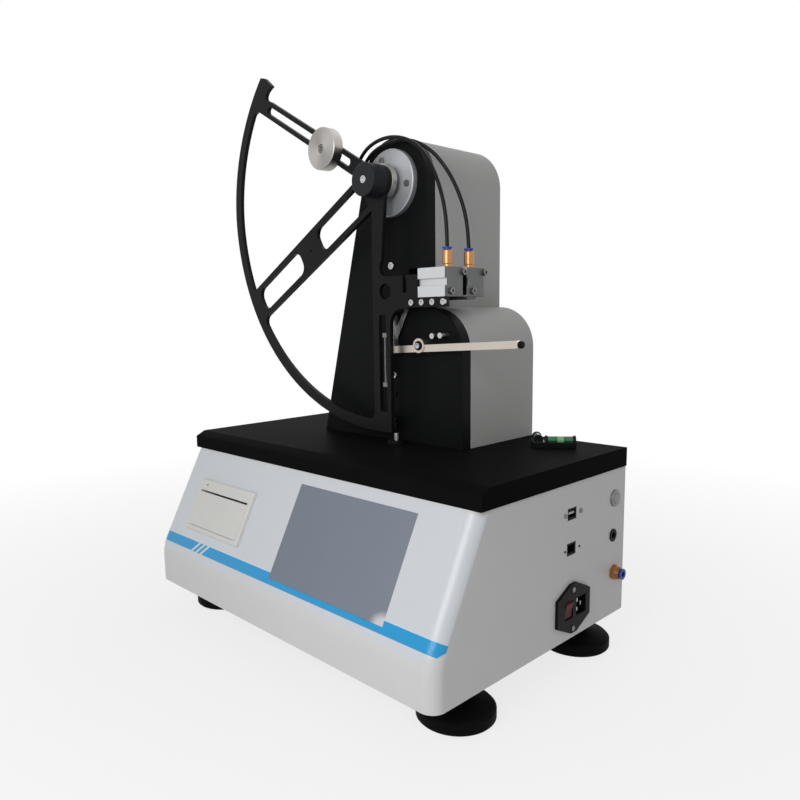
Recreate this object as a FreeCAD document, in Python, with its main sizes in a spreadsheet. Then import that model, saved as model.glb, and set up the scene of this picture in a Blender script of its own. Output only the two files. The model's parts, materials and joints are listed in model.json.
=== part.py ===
import FreeCAD, Part
import math
import os

import Sketcher
from FreeCAD import Placement, Rotation, Vector

# Driving dimensions in millimetres and degrees. X runs to the right across the front,
# Y to the back, Z up. Heights are above the lower edge of the white casing.
SIZES = {
    # Base casing
    "casing_width": 450.0,
    "front_reach": 205.4,
    "slope_top_reach": 145.7,
    "rear_reach": 101.9,
    "casing_height": 156.9,
    "slope_angle": 27.43,
    "bend_radius": 45.0,
    "corner_radius": 14.0,
    "casing_wall": 2.5,
    "bottom_sheet": 3.0,
    "plate_height": 20.0,
    "plate_overhang": 1.4,
    "bevel_height": 5.9,
    "bevel_depth": 11.9,
    "film_thickness": 0.5,
    "film_margin": 6.0,
    "film_foot": 14.0,
    "film_corner": 9.0,
    # Front panel
    "screen_left": -3.0,
    "screen_width": 165.0,
    "screen_length": 98.0,
    "screen_top": 13.0,
    "glass_thickness": 3.0,
    "display_depth": 14.0,
    "display_rim": 6.0,
    "printer_left": -178.0,
    "printer_width": 109.0,
    "printer_length": 62.0,
    "printer_top": 36.0,
    "printer_rise": 5.0,
    "printer_depth": 48.0,
    "printer_flange": 3.0,
    "printer_wall": 2.5,
    "door_margin": 4.0,
    "door_length": 43.0,
    "door_thickness": 2.4,
    "door_gap": 0.3,
    "roll_radius": 17.0,
    "roll_width": 57.0,
    # Side panel
    "usb_y": -2.5,
    "usb_drop": 30.4,
    "usb_width": 16.3,
    "usb_height": 11.9,
    "data_y": -2.75,
    "data_drop": 65.3,
    "data_width": 16.5,
    "data_height": 12.7,
    "socket_depth": 14.0,
    "socket_wall": 1.2,
    "inlet_y": -0.5,
    "inlet_z": 31.8,
    "inlet_flange_half": 29.5,
    "inlet_flange_side": 13.5,
    "inlet_flange_top": 25.0,
    "inlet_flange_flat": 5.0,
    "inlet_flange_depth": 3.0,
    "inlet_body_width": 47.0,
    "inlet_body_height": 27.0,
    "inlet_depth": 28.0,
    "inlet_screw_spacing": 40.0,
    "rocker_y": -9.6,
    "rocker_width": 13.3,
    "rocker_height": 17.6,
    "button_y": 79.9,
    "button_drop": 30.9,
    "button_bezel": 8.75,
    "button_thread": 8.0,
    "button_cap": 5.5,
    "button_travel": 2.0,
    "jack_y": 77.9,
    "jack_drop": 70.1,
    "jack_radius": 5.5,
    "port_y": 81.0,
    "port_z": 46.0,
    "port_flat": 7.25,
    "port_thread": 6.5,
    "tube_bore": 3.05,
    "collet_radius": 4.6,
    "collet_tip": 11.5,
    # Feet
    "foot_x": 189.5,
    "foot_front": 134.6,
    "foot_rear": 66.9,
    "foot_radius": 36.4,
    "foot_drop": 40.0,
    "foot_rubber": 10.7,
    "foot_stud": 5.0,
    # Bubble level
    "level_x": 157.0,
    "level_y": 33.0,
    "level_turn": 38.0,
    "level_length": 44.0,
    "level_depth": 32.0,
    "level_height": 13.0,
    "vial_radius": 4.0,
    "vial_length": 26.0,
    # Tower
    "axis_x": 14.5,
    "rim_clearance": 13.6,
    "tower_front": 27.0,
    "front_plate": 14.5,
    "tower_head": 48.0,
    "tower_flank_angle": 14.78,
    "shoulder_reach": 95.5,
    "shoulder_clearance": 0.9,
    "shoulder_radius": 46.0,
    "cover_wall": 2.0,
    "anvil_width": 14.7,
    "notch_floor": 4.7,
    "notch_head": 8.0,
    # Hub
    "flange_radius": 35.75,
    "flange_depth": 7.0,
    "flange_screw_circle": 27.0,
    "flange_screw_shank": 2.0,
    "sleeve_radius": 19.0,
    "sleeve_depth": 42.0,
    "bearing_radius": 14.0,
    "bearing_width": 8.0,
    "shaft_radius": 6.0,
    "running_gap": 0.05,
    "collar_radius": 19.0,
    "collar_depth": 7.0,
    "hub_radius": 17.4,
    "cap_depth": 21.0,
    "encoder_radius": 22.0,
    "encoder_depth": 30.0,
    # Pendulum
    "plate_front": 52.0,
    "pendulum_thickness": 5.0,
    "sector_radius": 270.0,
    "rim_width": 12.0,
    "upper_angle": 149.2,
    "upper_width": 19.0,
    "upper_slot_width": 8.5,
    "upper_slot_start": 53.0,
    "upper_slot_end": 217.0,
    "horn_width": 32.0,
    "horn_start": 225.0,
    "middle_angle": 209.3,
    "middle_width": 42.0,
    "middle_slot_width": 29.0,
    "middle_slot_inner": 24.0,
    "middle_slot_break": 113.0,
    "middle_slot_outer": 151.0,
    "middle_slot_end": 248.0,
    "slot_corner": 11.0,
    "rim_corner": 9.0,
    "sharp_corner": 3.0,
    "arm_left": 9.0,
    "arm_right": 17.0,
    "neck_right": 12.0,
    "neck_low_right": 4.6,
    "neck_low": 84.0,
    "carrier_top": 100.5,
    "carrier_right": 56.8,
    "strip_right": 95.4,
    "strip_top": 124.1,
    "strip_low": 134.1,
    "strip_radius": 17.0,
    "strip_screw_first": 49.5,
    "strip_screw_last": 92.8,
    "strip_screw_shank": 1.9,
    "jaw_gap_left": 36.2,
    "jaw_gap_width": 5.8,
    "jaw_gap_depth": 17.8,
    "carrier_hole_x": 9.9,
    "carrier_hole_drop": 116.3,
    "carrier_hole_radius": 8.5,
    "window_left": 0.0,
    "window_right": 11.2,
    "window_top": 141.0,
    "window_low": 247.5,
    "weight_place": 88.0,
    "weight_radius": 23.0,
    "weight_depth": 13.2,
    "weight_nut_depth": 3.0,
    # Clamps
    "jaw_height": 17.3,
    "tear_gap_front": 31.0,
    "tear_gap": 2.8,
    "jaw_depth": 15.0,
    "moving_jaw_width": 7.0,
    "jaw_opening_gap": 0.3,
    "cylinder_reach": 57.4,
    "cylinder_length": 36.8,
    "groove_half": 3.6,
    "groove_depth": 3.0,
    "cylinder_height": 29.6,
    "cylinder_front": 52.0,
    "cylinder_depth": 28.0,
    "rear_cylinder_front": 17.5,
    "rod_radius": 4.0,
    "rod_length": 12.0,
    "jaw_travel": 5.5,
    "fitting_inset": 8.7,
    "fitting_height": 17.0,
    "fitting_radius": 5.25,
    "small_collet_radius": 4.0,
    "small_collet_height": 3.0,
    "small_tube_radius": 2.0,
    # Knife
    "pivot_reach": 47.7,
    "pivot_drop": 174.3,
    "pivot_radius": 7.75,
    "pivot_bore": 3.0,
    "lever_tail": 42.2,
    "lever_tail_drop": 5.2,
    "lever_tip": 121.8,
    "lever_tip_rise": 3.1,
    "stop_screw_rise": 5.6,
    "stop_screw_first": 17.8,
    "stop_screw_last": 28.8,
    "lever_width": 7.5,
    "lever_front": 40.0,
    "lever_thickness": 5.0,
    "slider_reach": 48.9,
    "slider_width": 6.7,
    "slider_drop": 9.2,
    "slider_height": 41.0,
    "knife_travel": 20.0,
    "blade_thickness": 0.8,
    "blade_front": 30.0,
    "rod_reach": 60.0,
    "return_rod_radius": 1.5,
    "return_rod_drop": 39.0,
    "return_rod_length": 61.0,
    # Stop
    "stop_reach": 16.5,
    "stop_y": 43.7,
    "stop_radius": 3.0,
    "stop_clearance": 0.95,
    "stop_travel": 8.0,
    "bushing_radius": 10.0,
    "bushing_height": 5.0,
    "lug_width": 7.7,
    "lug_gap": 0.3,
    "lug_rise": 17.1,
    "lug_height": 12.0,
    "lug_depth": 6.0,
    # Units inside the base
    "supply_x": 110.0,
    "supply_y": 30.0,
    "supply_width": 100.0,
    "supply_depth": 100.0,
    "supply_height": 38.0,
    "board_x": -70.0,
    "board_y": 25.0,
    "board_width": 160.0,
    "board_depth": 110.0,
    "board_thickness": 1.6,
    "board_post": 6.0,
    "board_post_radius": 3.0,
    "board_post_inset": 5.0,
    "valve_x": 179.0,
    "valve_y": -1.0,
    "valve_width": 28.0,
    "valve_depth": 38.0,
    "valve_height": 24.0,
    "coil_depth": 14.0,
    "coil_height": 4.0,
    "actuator_radius": 16.0,
    "actuator_height": 60.0,
    "actuator_bore": 40.0,
    "pin_reach": 30.0,
}

doc = FreeCAD.newDocument("TearTester")
sheet = doc.addObject("Spreadsheet::Sheet", "Sizes")
for row, (alias, number) in enumerate(SIZES.items(), start=1):
    sheet.set(f"A{row}", alias)
    sheet.set(f"B{row}", str(number))
    sheet.setAlias(f"B{row}", alias)
doc.recompute()

SUBPARTS = []


class Size:
    """A length or angle with its value and its formula in the sheet."""

    def __init__(self, value, text):
        self.value = value
        self.text = text

    def __add__(self, other):
        other = as_size(other)
        return Size(self.value + other.value, f"({self.text} + {other.text})")

    __radd__ = __add__

    def __sub__(self, other):
        other = as_size(other)
        return Size(self.value - other.value, f"({self.text} - {other.text})")

    def __rsub__(self, other):
        return as_size(other) - self

    def __mul__(self, other):
        other = as_size(other)
        return Size(self.value * other.value, f"({self.text} * {other.text})")

    __rmul__ = __mul__

    def __truediv__(self, other):
        other = as_size(other)
        return Size(self.value / other.value, f"({self.text} / {other.text})")

    def __rtruediv__(self, other):
        return as_size(other) / self

    def __neg__(self):
        return Size(-self.value, f"(0 - {self.text})")

    def sin(self):
        return Size(math.sin(math.radians(self.value)), f"sin({self.text})")

    def cos(self):
        return Size(math.cos(math.radians(self.value)), f"cos({self.text})")

    def tan(self):
        return Size(math.tan(math.radians(self.value)), f"tan({self.text})")

    def root(self):
        return Size(math.sqrt(self.value), f"sqrt({self.text})")


class Sheet:
    """Reads the sheet's cells as sizes, by their aliases."""

    def __getattr__(self, alias):
        return Size(float(sheet.get(alias)), f"Sizes.{alias}")


size = Sheet()


def as_size(number):
    """A plain number as a size; a size stays as it is."""
    if isinstance(number, Size):
        return number
    return Size(float(number), f"({float(number)!r})")


ZERO = as_size(0)

# Heights and places that follow from the driving dimensions, in the casing's frame.
HALF_WIDTH = size.casing_width / 2
PLATE_TOP = size.casing_height + size.plate_height
AXIS_Z = PLATE_TOP + size.rim_clearance + size.sector_radius
TOWER_SIDE = size.axis_x + size.tower_head
SHOULDER_X = size.axis_x + size.shoulder_reach
STRIP_TOP = AXIS_Z - size.strip_top
STRIP_LOW = AXIS_Z - size.strip_low
SHOULDER_TOP = STRIP_LOW - size.shoulder_clearance
JAW_LEFT = size.axis_x + size.jaw_gap_left
JAW_RIGHT = JAW_LEFT + size.jaw_gap_width
JAW_TOP = AXIS_Z - size.carrier_top
JAW_LOW = JAW_TOP - size.jaw_height
ANVIL_LEFT = JAW_LEFT - size.anvil_width
NOTCH_LOW = JAW_LOW - size.notch_floor
NOTCH_HIGH = JAW_TOP + size.notch_head
CYLINDER_LEFT = size.axis_x + size.cylinder_reach
CYLINDER_RIGHT = CYLINDER_LEFT + size.cylinder_length
CYLINDER_TOP = STRIP_TOP + size.cylinder_height
CYLINDER_MIDDLE = STRIP_TOP + size.cylinder_height / 2
PIVOT_X = size.axis_x + size.pivot_reach
PIVOT_Z = AXIS_Z - size.pivot_drop
SLIDER_LEFT = PIVOT_X - size.slider_reach
SLIDER_LOW = PIVOT_Z - size.slider_drop
STOP_X = size.axis_x + size.stop_reach
STOP_TIP = size.rim_clearance - size.stop_clearance
USB_Z = size.casing_height - size.usb_drop
DATA_Z = size.casing_height - size.data_drop
BUTTON_Z = size.casing_height - size.button_drop
JACK_Z = size.casing_height - size.jack_drop

# The model's origin lies below the middle of the whole instrument, on the floor.
SHIFT_X = (size.sector_radius - size.axis_x - size.casing_width / 2 - size.collet_tip) / 2
SHIFT_Y = (size.front_reach + size.film_thickness - size.rear_reach) / 2
SHIFT_Z = size.foot_drop

TURNS = {
    "up": Rotation(),
    "down": Rotation(Vector(1, 0, 0), 180),
    "front": Rotation(Vector(1, 0, 0), 90),
    "back": Rotation(Vector(1, 0, 0), -90),
    "right": Rotation(Vector(0, 1, 0), 90),
    "left": Rotation(Vector(0, 1, 0), -90),
}
SLOPE_TILT = 90 - size.slope_angle


def place(thing, x=ZERO, y=ZERO, z=ZERO, rotation=None):
    """Put an object at a point of the casing's frame, bound to the sheet."""
    spots = [as_size(x) + SHIFT_X, as_size(y) + SHIFT_Y, as_size(z) + SHIFT_Z]
    thing.Placement = Placement(Vector(*[spot.value for spot in spots]), rotation or Rotation())
    for axis, spot in zip("xyz", spots):
        thing.setExpression(f"Placement.Base.{axis}", spot.text)


def make_body(label, x=ZERO, y=ZERO, z=ZERO, rotation=None, keep=True):
    """A new body at its place; kept ones are written out as sub-parts."""
    body = doc.addObject("PartDesign::Body", label)
    body.Label = label
    place(body, x, y, z, rotation)
    if keep:
        SUBPARTS.append(body)
    return body


def centre_of_arc(start, end, radius):
    """Centre of the short arc; a positive radius turns counter-clockwise."""
    chord = end - start
    half = chord.Length / 2
    rise = math.sqrt(max(radius * radius - half * half, 0.0))
    side = Vector(-chord.y, chord.x, 0).normalize()
    return start + chord * 0.5 + side * (rise if radius > 0 else -rise)


def arc_between(start, end, radius):
    """The sketch arc from start to end, which always runs counter-clockwise."""
    centre = centre_of_arc(start, end, radius)
    first, last = (start, end) if radius > 0 else (end, start)
    begin = math.atan2(first.y - centre.y, first.x - centre.x)
    finish = math.atan2(last.y - centre.y, last.x - centre.x)
    if finish < begin:
        finish += 2 * math.pi
    circle = Part.Circle(centre, Vector(0, 0, 1), abs(radius))
    return Part.ArcOfCircle(circle, begin, finish)


def bind(sketch, constraints):
    """Add dimension constraints, each tied to its formula."""
    for constraint, formula in constraints:
        index = sketch.addConstraint(constraint)
        sketch.setExpression(f"Constraints[{index}]", formula.text)


def draw_loop(sketch, corners):
    """Draw a closed outline of corners (x, y) or (x, y, radius of the arc that follows)."""
    first = sketch.GeometryCount
    count = len(corners)
    points = [Vector(as_size(c[0]).value, as_size(c[1]).value, 0) for c in corners]
    shapes = []
    ends = []
    sizes = []
    for index, corner in enumerate(corners):
        start, end = points[index], points[(index + 1) % count]
        if len(corner) == 2:
            shapes.append(Part.LineSegment(start, end))
            ends.append((1, 2))
            continue
        radius = as_size(corner[2])
        shapes.append(arc_between(start, end, radius.value))
        ends.append((1, 2) if radius.value > 0 else (2, 1))
        length = radius if radius.value > 0 else -radius
        if (end - start).Length > 1.99999 * length.value:
            upright = abs((end - start).x) > abs((end - start).y)
            kind, part = ("DistanceY", 1) if upright else ("DistanceX", 0)
            middle = (as_size(corner[part]) + corners[(index + 1) % count][part]) / 2
            rule = Sketcher.Constraint(kind, first + index, 3, middle.value)
            sizes.append((rule, middle))
            continue
        sizes.append((Sketcher.Constraint("Radius", first + index, length.value), length))
    sketch.addGeometry(shapes, False)
    joins = []
    for index in range(count):
        following = (index + 1) % count
        joins.append(Sketcher.Constraint("Coincident", first + index, ends[index][1],
                                         first + following, ends[following][0]))
    sketch.addConstraint(joins)
    for index, corner in enumerate(corners):
        for kind, along in (("DistanceX", as_size(corner[0])), ("DistanceY", as_size(corner[1]))):
            rule = Sketcher.Constraint(kind, first + index, ends[index][0], along.value)
            sizes.append((rule, along))
    bind(sketch, sizes)


def draw_circle(sketch, x, y, radius):
    """Draw a circle fixed by its centre and radius."""
    x, y, radius = as_size(x), as_size(y), as_size(radius)
    centre = Vector(x.value, y.value, 0)
    index = sketch.addGeometry(Part.Circle(centre, Vector(0, 0, 1), radius.value), False)
    bind(sketch, [
        (Sketcher.Constraint("DistanceX", index, 3, x.value), x),
        (Sketcher.Constraint("DistanceY", index, 3, y.value), y),
        (Sketcher.Constraint("Radius", index, radius.value), radius),
    ])


def new_sketch(body, name, plane, offset, loops):
    """A sketch on one of the body's own planes, moved along its normal."""
    sketch = body.newObject("Sketcher::SketchObject", f"{body.Name}_{name}_outline")
    base = [one for one in body.Origin.OriginFeatures if one.Role == plane][0]
    sketch.AttachmentSupport = (base, [""])
    sketch.MapMode = "FlatFace"
    sketch.AttachmentOffset = Placement(Vector(0, 0, offset.value), Rotation())
    sketch.setExpression("AttachmentOffset.Base.z", offset.text)
    for loop in loops:
        if isinstance(loop, tuple):
            draw_circle(sketch, *loop)
        else:
            draw_loop(sketch, loop)
    return sketch


def pad(body, name, plane, loops, low, high):
    """Solid between two heights along the plane's world axis."""
    low, high = as_size(low), as_size(high)
    offset = -high if plane == "XZ_Plane" else low
    sketch = new_sketch(body, name, plane, offset, loops)
    feature = body.newObject("PartDesign::Pad", f"{body.Name}_{name}")
    feature.Profile = sketch
    length = high - low
    feature.Length = length.value
    feature.setExpression("Length", length.text)
    return feature


def pocket(body, name, plane, loops, low, high):
    """Cut between two heights along the plane's world axis."""
    low, high = as_size(low), as_size(high)
    offset = -low if plane == "XZ_Plane" else high
    sketch = new_sketch(body, name, plane, offset, loops)
    feature = body.newObject("PartDesign::Pocket", f"{body.Name}_{name}")
    feature.Profile = sketch
    length = high - low
    feature.Length = length.value
    feature.setExpression("Length", length.text)
    return feature


def turn(body, name, profile):
    """Revolve a profile of (radius, height) corners about the body's Z axis."""
    sketch = new_sketch(body, name, "XZ_Plane", ZERO, [profile])
    feature = body.newObject("PartDesign::Revolution", f"{body.Name}_{name}")
    feature.Profile = sketch
    feature.ReferenceAxis = (sketch, ["V_Axis"])
    feature.Angle = 360
    return feature


def round_edges(body, name, radius, spots, kind="PartDesign::Fillet"):
    """Round or chamfer the body's edges that pass through the given points."""
    doc.recompute()
    base = body.Tip
    names = []
    for spot in spots:
        probe = Part.Vertex(Vector(*[as_size(one).value for one in spot]))
        gaps = [edge.distToShape(probe)[0] for edge in base.Shape.Edges]
        names.append(f"Edge{gaps.index(min(gaps)) + 1}")
    radius = as_size(radius)
    feature = body.newObject(kind, f"{body.Name}_{name}")
    feature.Base = (base, sorted(set(names)))
    measure = "Radius" if kind.endswith("Fillet") else "Size"
    setattr(feature, measure, radius.value)
    feature.setExpression(measure, radius.text)
    return feature


def box(left, right, low, high):
    """Corners of a rectangle between four sides."""
    return [(left, low), (right, low), (right, high), (left, high)]


def ring(radius_out, radius_in, low, high):
    """Profile of a plain ring for a revolve."""
    return [(radius_in, low), (radius_out, low), (radius_out, high), (radius_in, high)]


def rod(radius, low, high):
    """Profile of a plain cylinder for a revolve."""
    return [(ZERO, low), (radius, low), (radius, high), (ZERO, high)]


def hexagon(x, y, across):
    """Corners of a hexagon with the given distance from centre to flat."""
    reach = across * (2 / math.sqrt(3))
    return [(x + reach * math.cos(math.pi * k / 3), y + reach * math.sin(math.pi * k / 3))
            for k in range(6)]


def polar(radius, angle):
    """Point at a distance and direction from the origin."""
    return radius * angle.cos(), radius * angle.sin()


def along(distance, across, angle):
    """Point at a distance along a direction and to its left."""
    return (distance * angle.cos() - across * angle.sin(),
            distance * angle.sin() + across * angle.cos())


# Base

BEND_HEIGHT = size.casing_height - (size.front_reach - size.slope_top_reach) / size.slope_angle.tan()


def casing_profile(inset, low, high):
    """Side outline of the casing with its corner before bending, (y, z)."""
    lift = inset * (1 / size.slope_angle.cos() - size.slope_angle.tan())
    front = size.front_reach - inset
    bend = BEND_HEIGHT - inset / size.slope_angle.sin() + inset / size.slope_angle.tan()
    top = size.slope_top_reach - lift - inset * size.slope_angle.tan()
    rise = high - size.casing_height
    top = top - rise * size.slope_angle.tan()
    return [(-front, low), (-front, bend), (-top, high),
            (size.rear_reach - inset, high), (size.rear_reach - inset, low)]


def casing_form(label, inset, low, high):
    """The casing's outer or inner form with its front bend and rounded corners."""
    body = make_body(label, keep=False)
    profile = casing_profile(inset, low, high)
    half = HALF_WIDTH - inset
    pad(body, "form", "YZ_Plane", [profile], -half, half)
    bend = profile[1]
    round_edges(body, "bend", size.bend_radius - inset, [(ZERO, bend[0], bend[1])])
    spots = [(side * half, bend[0], low + 2) for side in (-1, 1)]
    round_edges(body, "corner", size.corner_radius - inset, spots)
    return body


def slope_point(distance):
    """Point (y, z) on the slope, at a distance down from its top edge."""
    return (-(size.slope_top_reach + distance * size.slope_angle.sin()),
            size.casing_height - distance * size.slope_angle.cos())


def slope_body(label, keep=True):
    """A body whose XY plane is the slope: y up the slope, z out of it."""
    body = make_body(label, ZERO, -size.slope_top_reach, size.casing_height,
                     Rotation(Vector(1, 0, 0), SLOPE_TILT.value), keep)
    body.setExpression("Placement.Rotation.Angle", SLOPE_TILT.text)
    return body


SCREEN = box(size.screen_left, size.screen_left + size.screen_width,
             -(size.screen_top + size.screen_length), -size.screen_top)
PRINTER = box(size.printer_left, size.printer_left + size.printer_width,
              -(size.printer_top + size.printer_length), -size.printer_top)
PRINTER_HOLE = box(size.printer_left + size.printer_flange,
                   size.printer_left + size.printer_width - size.printer_flange,
                   -(size.printer_top + size.printer_length - size.printer_flange),
                   -(size.printer_top + size.printer_flange))


def cut_from(label, base, tools):
    """A sub-part made by taking tools away from a base body."""
    result = base
    for index, tool in enumerate(tools):
        cut = doc.addObject("Part::Cut", f"{label}_cut_{index}")
        cut.Base = result
        cut.Tool = tool
        result = cut
    result.Label = label
    SUBPARTS.append(result)
    return result


def base_casing():
    """White sheet housing: sloping panel, round bend, open at top and bottom."""
    outer = casing_form("casing_outer", ZERO, ZERO, size.casing_height)
    reach = size.inlet_flange_depth + size.casing_wall
    wall = HALF_WIDTH - size.casing_wall - 1
    for name, y, z, width, height in (
            ("usb", size.usb_y, USB_Z, size.usb_width, size.usb_height),
            ("data", size.data_y, DATA_Z, size.data_width, size.data_height),
            ("inlet", size.inlet_y, size.inlet_z, size.inlet_body_width, size.inlet_body_height)):
        pocket(outer, name, "YZ_Plane",
               [box(y - width / 2, y + width / 2, z - height / 2, z + height / 2)],
               wall, HALF_WIDTH + reach)
    pocket(outer, "round_holes", "YZ_Plane",
           [(size.button_y, BUTTON_Z, size.button_thread),
            (size.jack_y, JACK_Z, size.jack_radius),
            (size.port_y, size.port_z, size.port_thread)],
           wall, HALF_WIDTH + reach)
    inner = casing_form("casing_inner", size.casing_wall, as_size(-1), size.casing_height + 1)
    slots = slope_body("casing_slots", keep=False)
    pad(slots, "openings", "XY_Plane", [SCREEN, PRINTER_HOLE], as_size(-5), as_size(5))
    cut_from("base_casing", outer, [inner, slots])


def bottom_plate():
    """Sheet that closes the casing from below, with the feet's threaded holes."""
    body = make_body("bottom_plate")
    wall = size.casing_wall
    pad(body, "sheet", "XY_Plane",
        [box(wall - HALF_WIDTH, HALF_WIDTH - wall, wall - size.front_reach,
             size.rear_reach - wall)], ZERO, size.bottom_sheet)
    middle = size.bottom_sheet / 2
    round_edges(body, "corners", size.corner_radius - wall,
                [(side * (HALF_WIDTH - wall), wall - size.front_reach, middle)
                 for side in (-1, 1)])
    holes = [(side * size.foot_x, y, size.foot_stud + size.running_gap)
             for side in (-1, 1) for y in (-size.foot_front, size.foot_rear)]
    pocket(body, "stud_holes", "XY_Plane", [holes[0], holes[1], holes[2], holes[3]],
           ZERO, size.bottom_sheet)


def top_plate():
    """Thick black plate on the casing, bevelled along its front."""
    body = make_body("top_plate")
    low, high = size.casing_height, PLATE_TOP
    front = -size.slope_top_reach
    half = HALF_WIDTH + size.plate_overhang
    pad(body, "slab", "YZ_Plane",
        [[(front, low), (size.rear_reach, low), (size.rear_reach, high),
          (front + size.bevel_depth, high), (front, high - size.bevel_height)]], -half, half)
    pocket(body, "pin_hole", "XY_Plane",
           [(STOP_X, -size.stop_y, size.bushing_radius - 3),
            (size.axis_x, size.rear_reach / 2, as_size(15))], low, high)


def front_film():
    """Panel film over the slope and round the bend, with its two cut-outs."""
    outline = make_body("film_band", keep=False)
    radius = size.bend_radius
    skin = size.film_thickness
    back = radius * (size.slope_angle / 2).tan()
    low_y, low_z = -size.front_reach, BEND_HEIGHT - back
    top_y = low_y + back * size.slope_angle.sin()
    top_z = BEND_HEIGHT + back * size.slope_angle.cos()
    start_y, start_z = slope_point(size.film_margin / 2)
    out_y, out_z = -(skin * size.slope_angle.cos()), skin * size.slope_angle.sin()
    pad(outline, "band", "YZ_Plane", [[
        (start_y, start_z), (top_y, top_z, radius), (low_y, low_z), (low_y, size.film_foot),
        (low_y - skin, size.film_foot), (low_y - skin, low_z, -(radius + skin)),
        (top_y + out_y, top_z + out_z), (start_y + out_y, start_z + out_z),
    ]], size.corner_radius + size.film_margin - HALF_WIDTH,
        HALF_WIDTH - size.corner_radius - size.film_margin)
    side = HALF_WIDTH - size.corner_radius - size.film_margin
    round_edges(outline, "corners", size.film_corner,
                [(sign * side, low_y - skin / 2, size.film_foot) for sign in (-1, 1)])
    slots = slope_body("film_slots", keep=False)
    pad(slots, "openings", "XY_Plane", [SCREEN, PRINTER_HOLE], as_size(-5), as_size(5))
    cut_from("front_film", outline, [slots])


def touch_screen():
    """Glass of the display, flush with the film."""
    body = slope_body("touch_screen")
    pad(body, "glass", "XY_Plane", [SCREEN], size.film_thickness - size.glass_thickness,
        size.film_thickness)


def display_module():
    """Display and its frame behind the glass, held against the casing's inside."""
    body = slope_body("display_module")
    rim = size.display_rim
    face = size.film_thickness - size.glass_thickness
    pad(body, "frame", "XY_Plane",
        [box(size.screen_left - rim, size.screen_left + size.screen_width + rim,
             -(size.screen_top + size.screen_length + rim / 2), -(size.screen_top - rim / 2))],
        face - size.display_depth, face)


def printer():
    """Printer housing with its bezel, the paper door and the roll inside."""
    body = slope_body("printer_housing")
    rise = size.film_thickness + size.printer_rise
    pad(body, "bezel", "XY_Plane", [PRINTER], size.film_thickness, rise)
    pad(body, "tub", "XY_Plane", [PRINTER_HOLE], -size.printer_depth, size.film_thickness)
    wall = size.printer_wall + size.printer_flange
    left, right = size.printer_left + wall, size.printer_left + size.printer_width - wall
    low = -(size.printer_top + size.printer_length - wall)
    high = low + size.door_length
    pocket(body, "cavity", "XY_Plane", [box(left, right, low, high)],
           -size.printer_depth + size.printer_wall, rise)
    round_edges(body, "bezel_edge", as_size(1.5),
                [(size.printer_left, low, rise), (right, -size.printer_top, rise),
                 (size.printer_left + size.printer_width, low, rise),
                 (right, -(size.printer_top + size.printer_length), rise)])
    gap = size.door_gap
    door = slope_body("printer_door")
    pad(door, "leaf", "XY_Plane", [box(left + gap, right - gap, low + gap, high - 2)],
        rise - size.door_thickness, rise)
    middle = (left + right) / 2
    roll = make_body("paper_roll", middle, *roll_centre(), TURNS["right"])
    turn(roll, "roll", ring(size.roll_radius, as_size(6), -size.roll_width / 2,
                            size.roll_width / 2))


def roll_centre():
    """Centre (y, z) of the paper roll, behind the door."""
    depth = size.printer_depth - size.printer_wall - size.roll_radius - size.door_gap
    distance = (size.printer_top + size.printer_length - size.printer_wall
                - size.printer_flange - size.door_length / 2)
    y, z = slope_point(distance)
    return (y + depth * size.slope_angle.cos(), z - depth * size.slope_angle.sin())


def panel_socket(label, y, z, width, height):
    """Open-mouthed socket in the right wall."""
    body = make_body(label)
    face = HALF_WIDTH - size.film_thickness
    back = face - size.socket_depth
    pad(body, "shell", "YZ_Plane",
        [box(y - width / 2, y + width / 2, z - height / 2, z + height / 2)], back, face)
    wall = size.socket_wall * 2
    pocket(body, "mouth", "YZ_Plane",
           [box(y - width / 2 + wall, y + width / 2 - wall,
                z - height / 2 + wall, z + height / 2 - wall)],
           back + size.socket_wall, face)
    return body


def power_inlet():
    """Mains inlet: hexagonal flange, pin cavity and rocker well."""
    body = make_body("power_inlet")
    y, z = size.inlet_y, size.inlet_z
    half, side = size.inlet_flange_half, size.inlet_flange_side
    flat, top = size.inlet_flange_flat, size.inlet_flange_top
    pad(body, "flange", "YZ_Plane", [[
        (y - half, z - side), (y - flat, z - top), (y + flat, z - top), (y + half, z - side),
        (y + half, z + side), (y + flat, z + top), (y - flat, z + top), (y - half, z + side),
    ]], HALF_WIDTH, HALF_WIDTH + size.inlet_flange_depth)
    width, height = size.inlet_body_width / 2, size.inlet_body_height / 2
    back = HALF_WIDTH - size.inlet_depth
    pad(body, "body", "YZ_Plane", [box(y - width, y + width, z - height, z + height)],
        back, HALF_WIDTH)
    face = HALF_WIDTH + size.inlet_flange_depth
    gap = size.door_gap
    well = size.rocker_width / 2 + gap
    pocket(body, "rocker_well", "YZ_Plane",
           [box(size.rocker_y - well, size.rocker_y + well,
                z - size.rocker_height / 2 - gap, z + size.rocker_height / 2 + gap)],
           face - 12, face)
    pocket(body, "pin_cavity", "YZ_Plane", [box(y + 4, y + width - 2, z - 9, z + 9)],
           back + 4, face)
    pad(body, "pins", "YZ_Plane",
        [box(y + 11, y + 13, z - 2, z + 2), box(y + 7, y + 9, z - 6, z - 4),
         box(y + 7, y + 9, z + 4, z + 6)], back + 4, face - 8)
    rocker = make_body("power_rocker", face - 4, size.rocker_y, z)
    half_width = size.rocker_width / 2
    pad(rocker, "paddle", "XZ_Plane", [[
        (as_size(-5), as_size(-2.5)), rocker_end(0.5, -1), rocker_end(3, -1),
        (as_size(3.4), ZERO), rocker_end(5.2, 1), rocker_end(2.4, 1),
        (as_size(-5), as_size(2.5)),
    ]], -half_width, half_width)


def rocker_end(reach, side):
    """Corner of the rocker on its round end, which swings clear of the well."""
    radius = size.rocker_height / 2
    return as_size(reach), side * (radius * radius - reach * reach).root()


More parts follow.
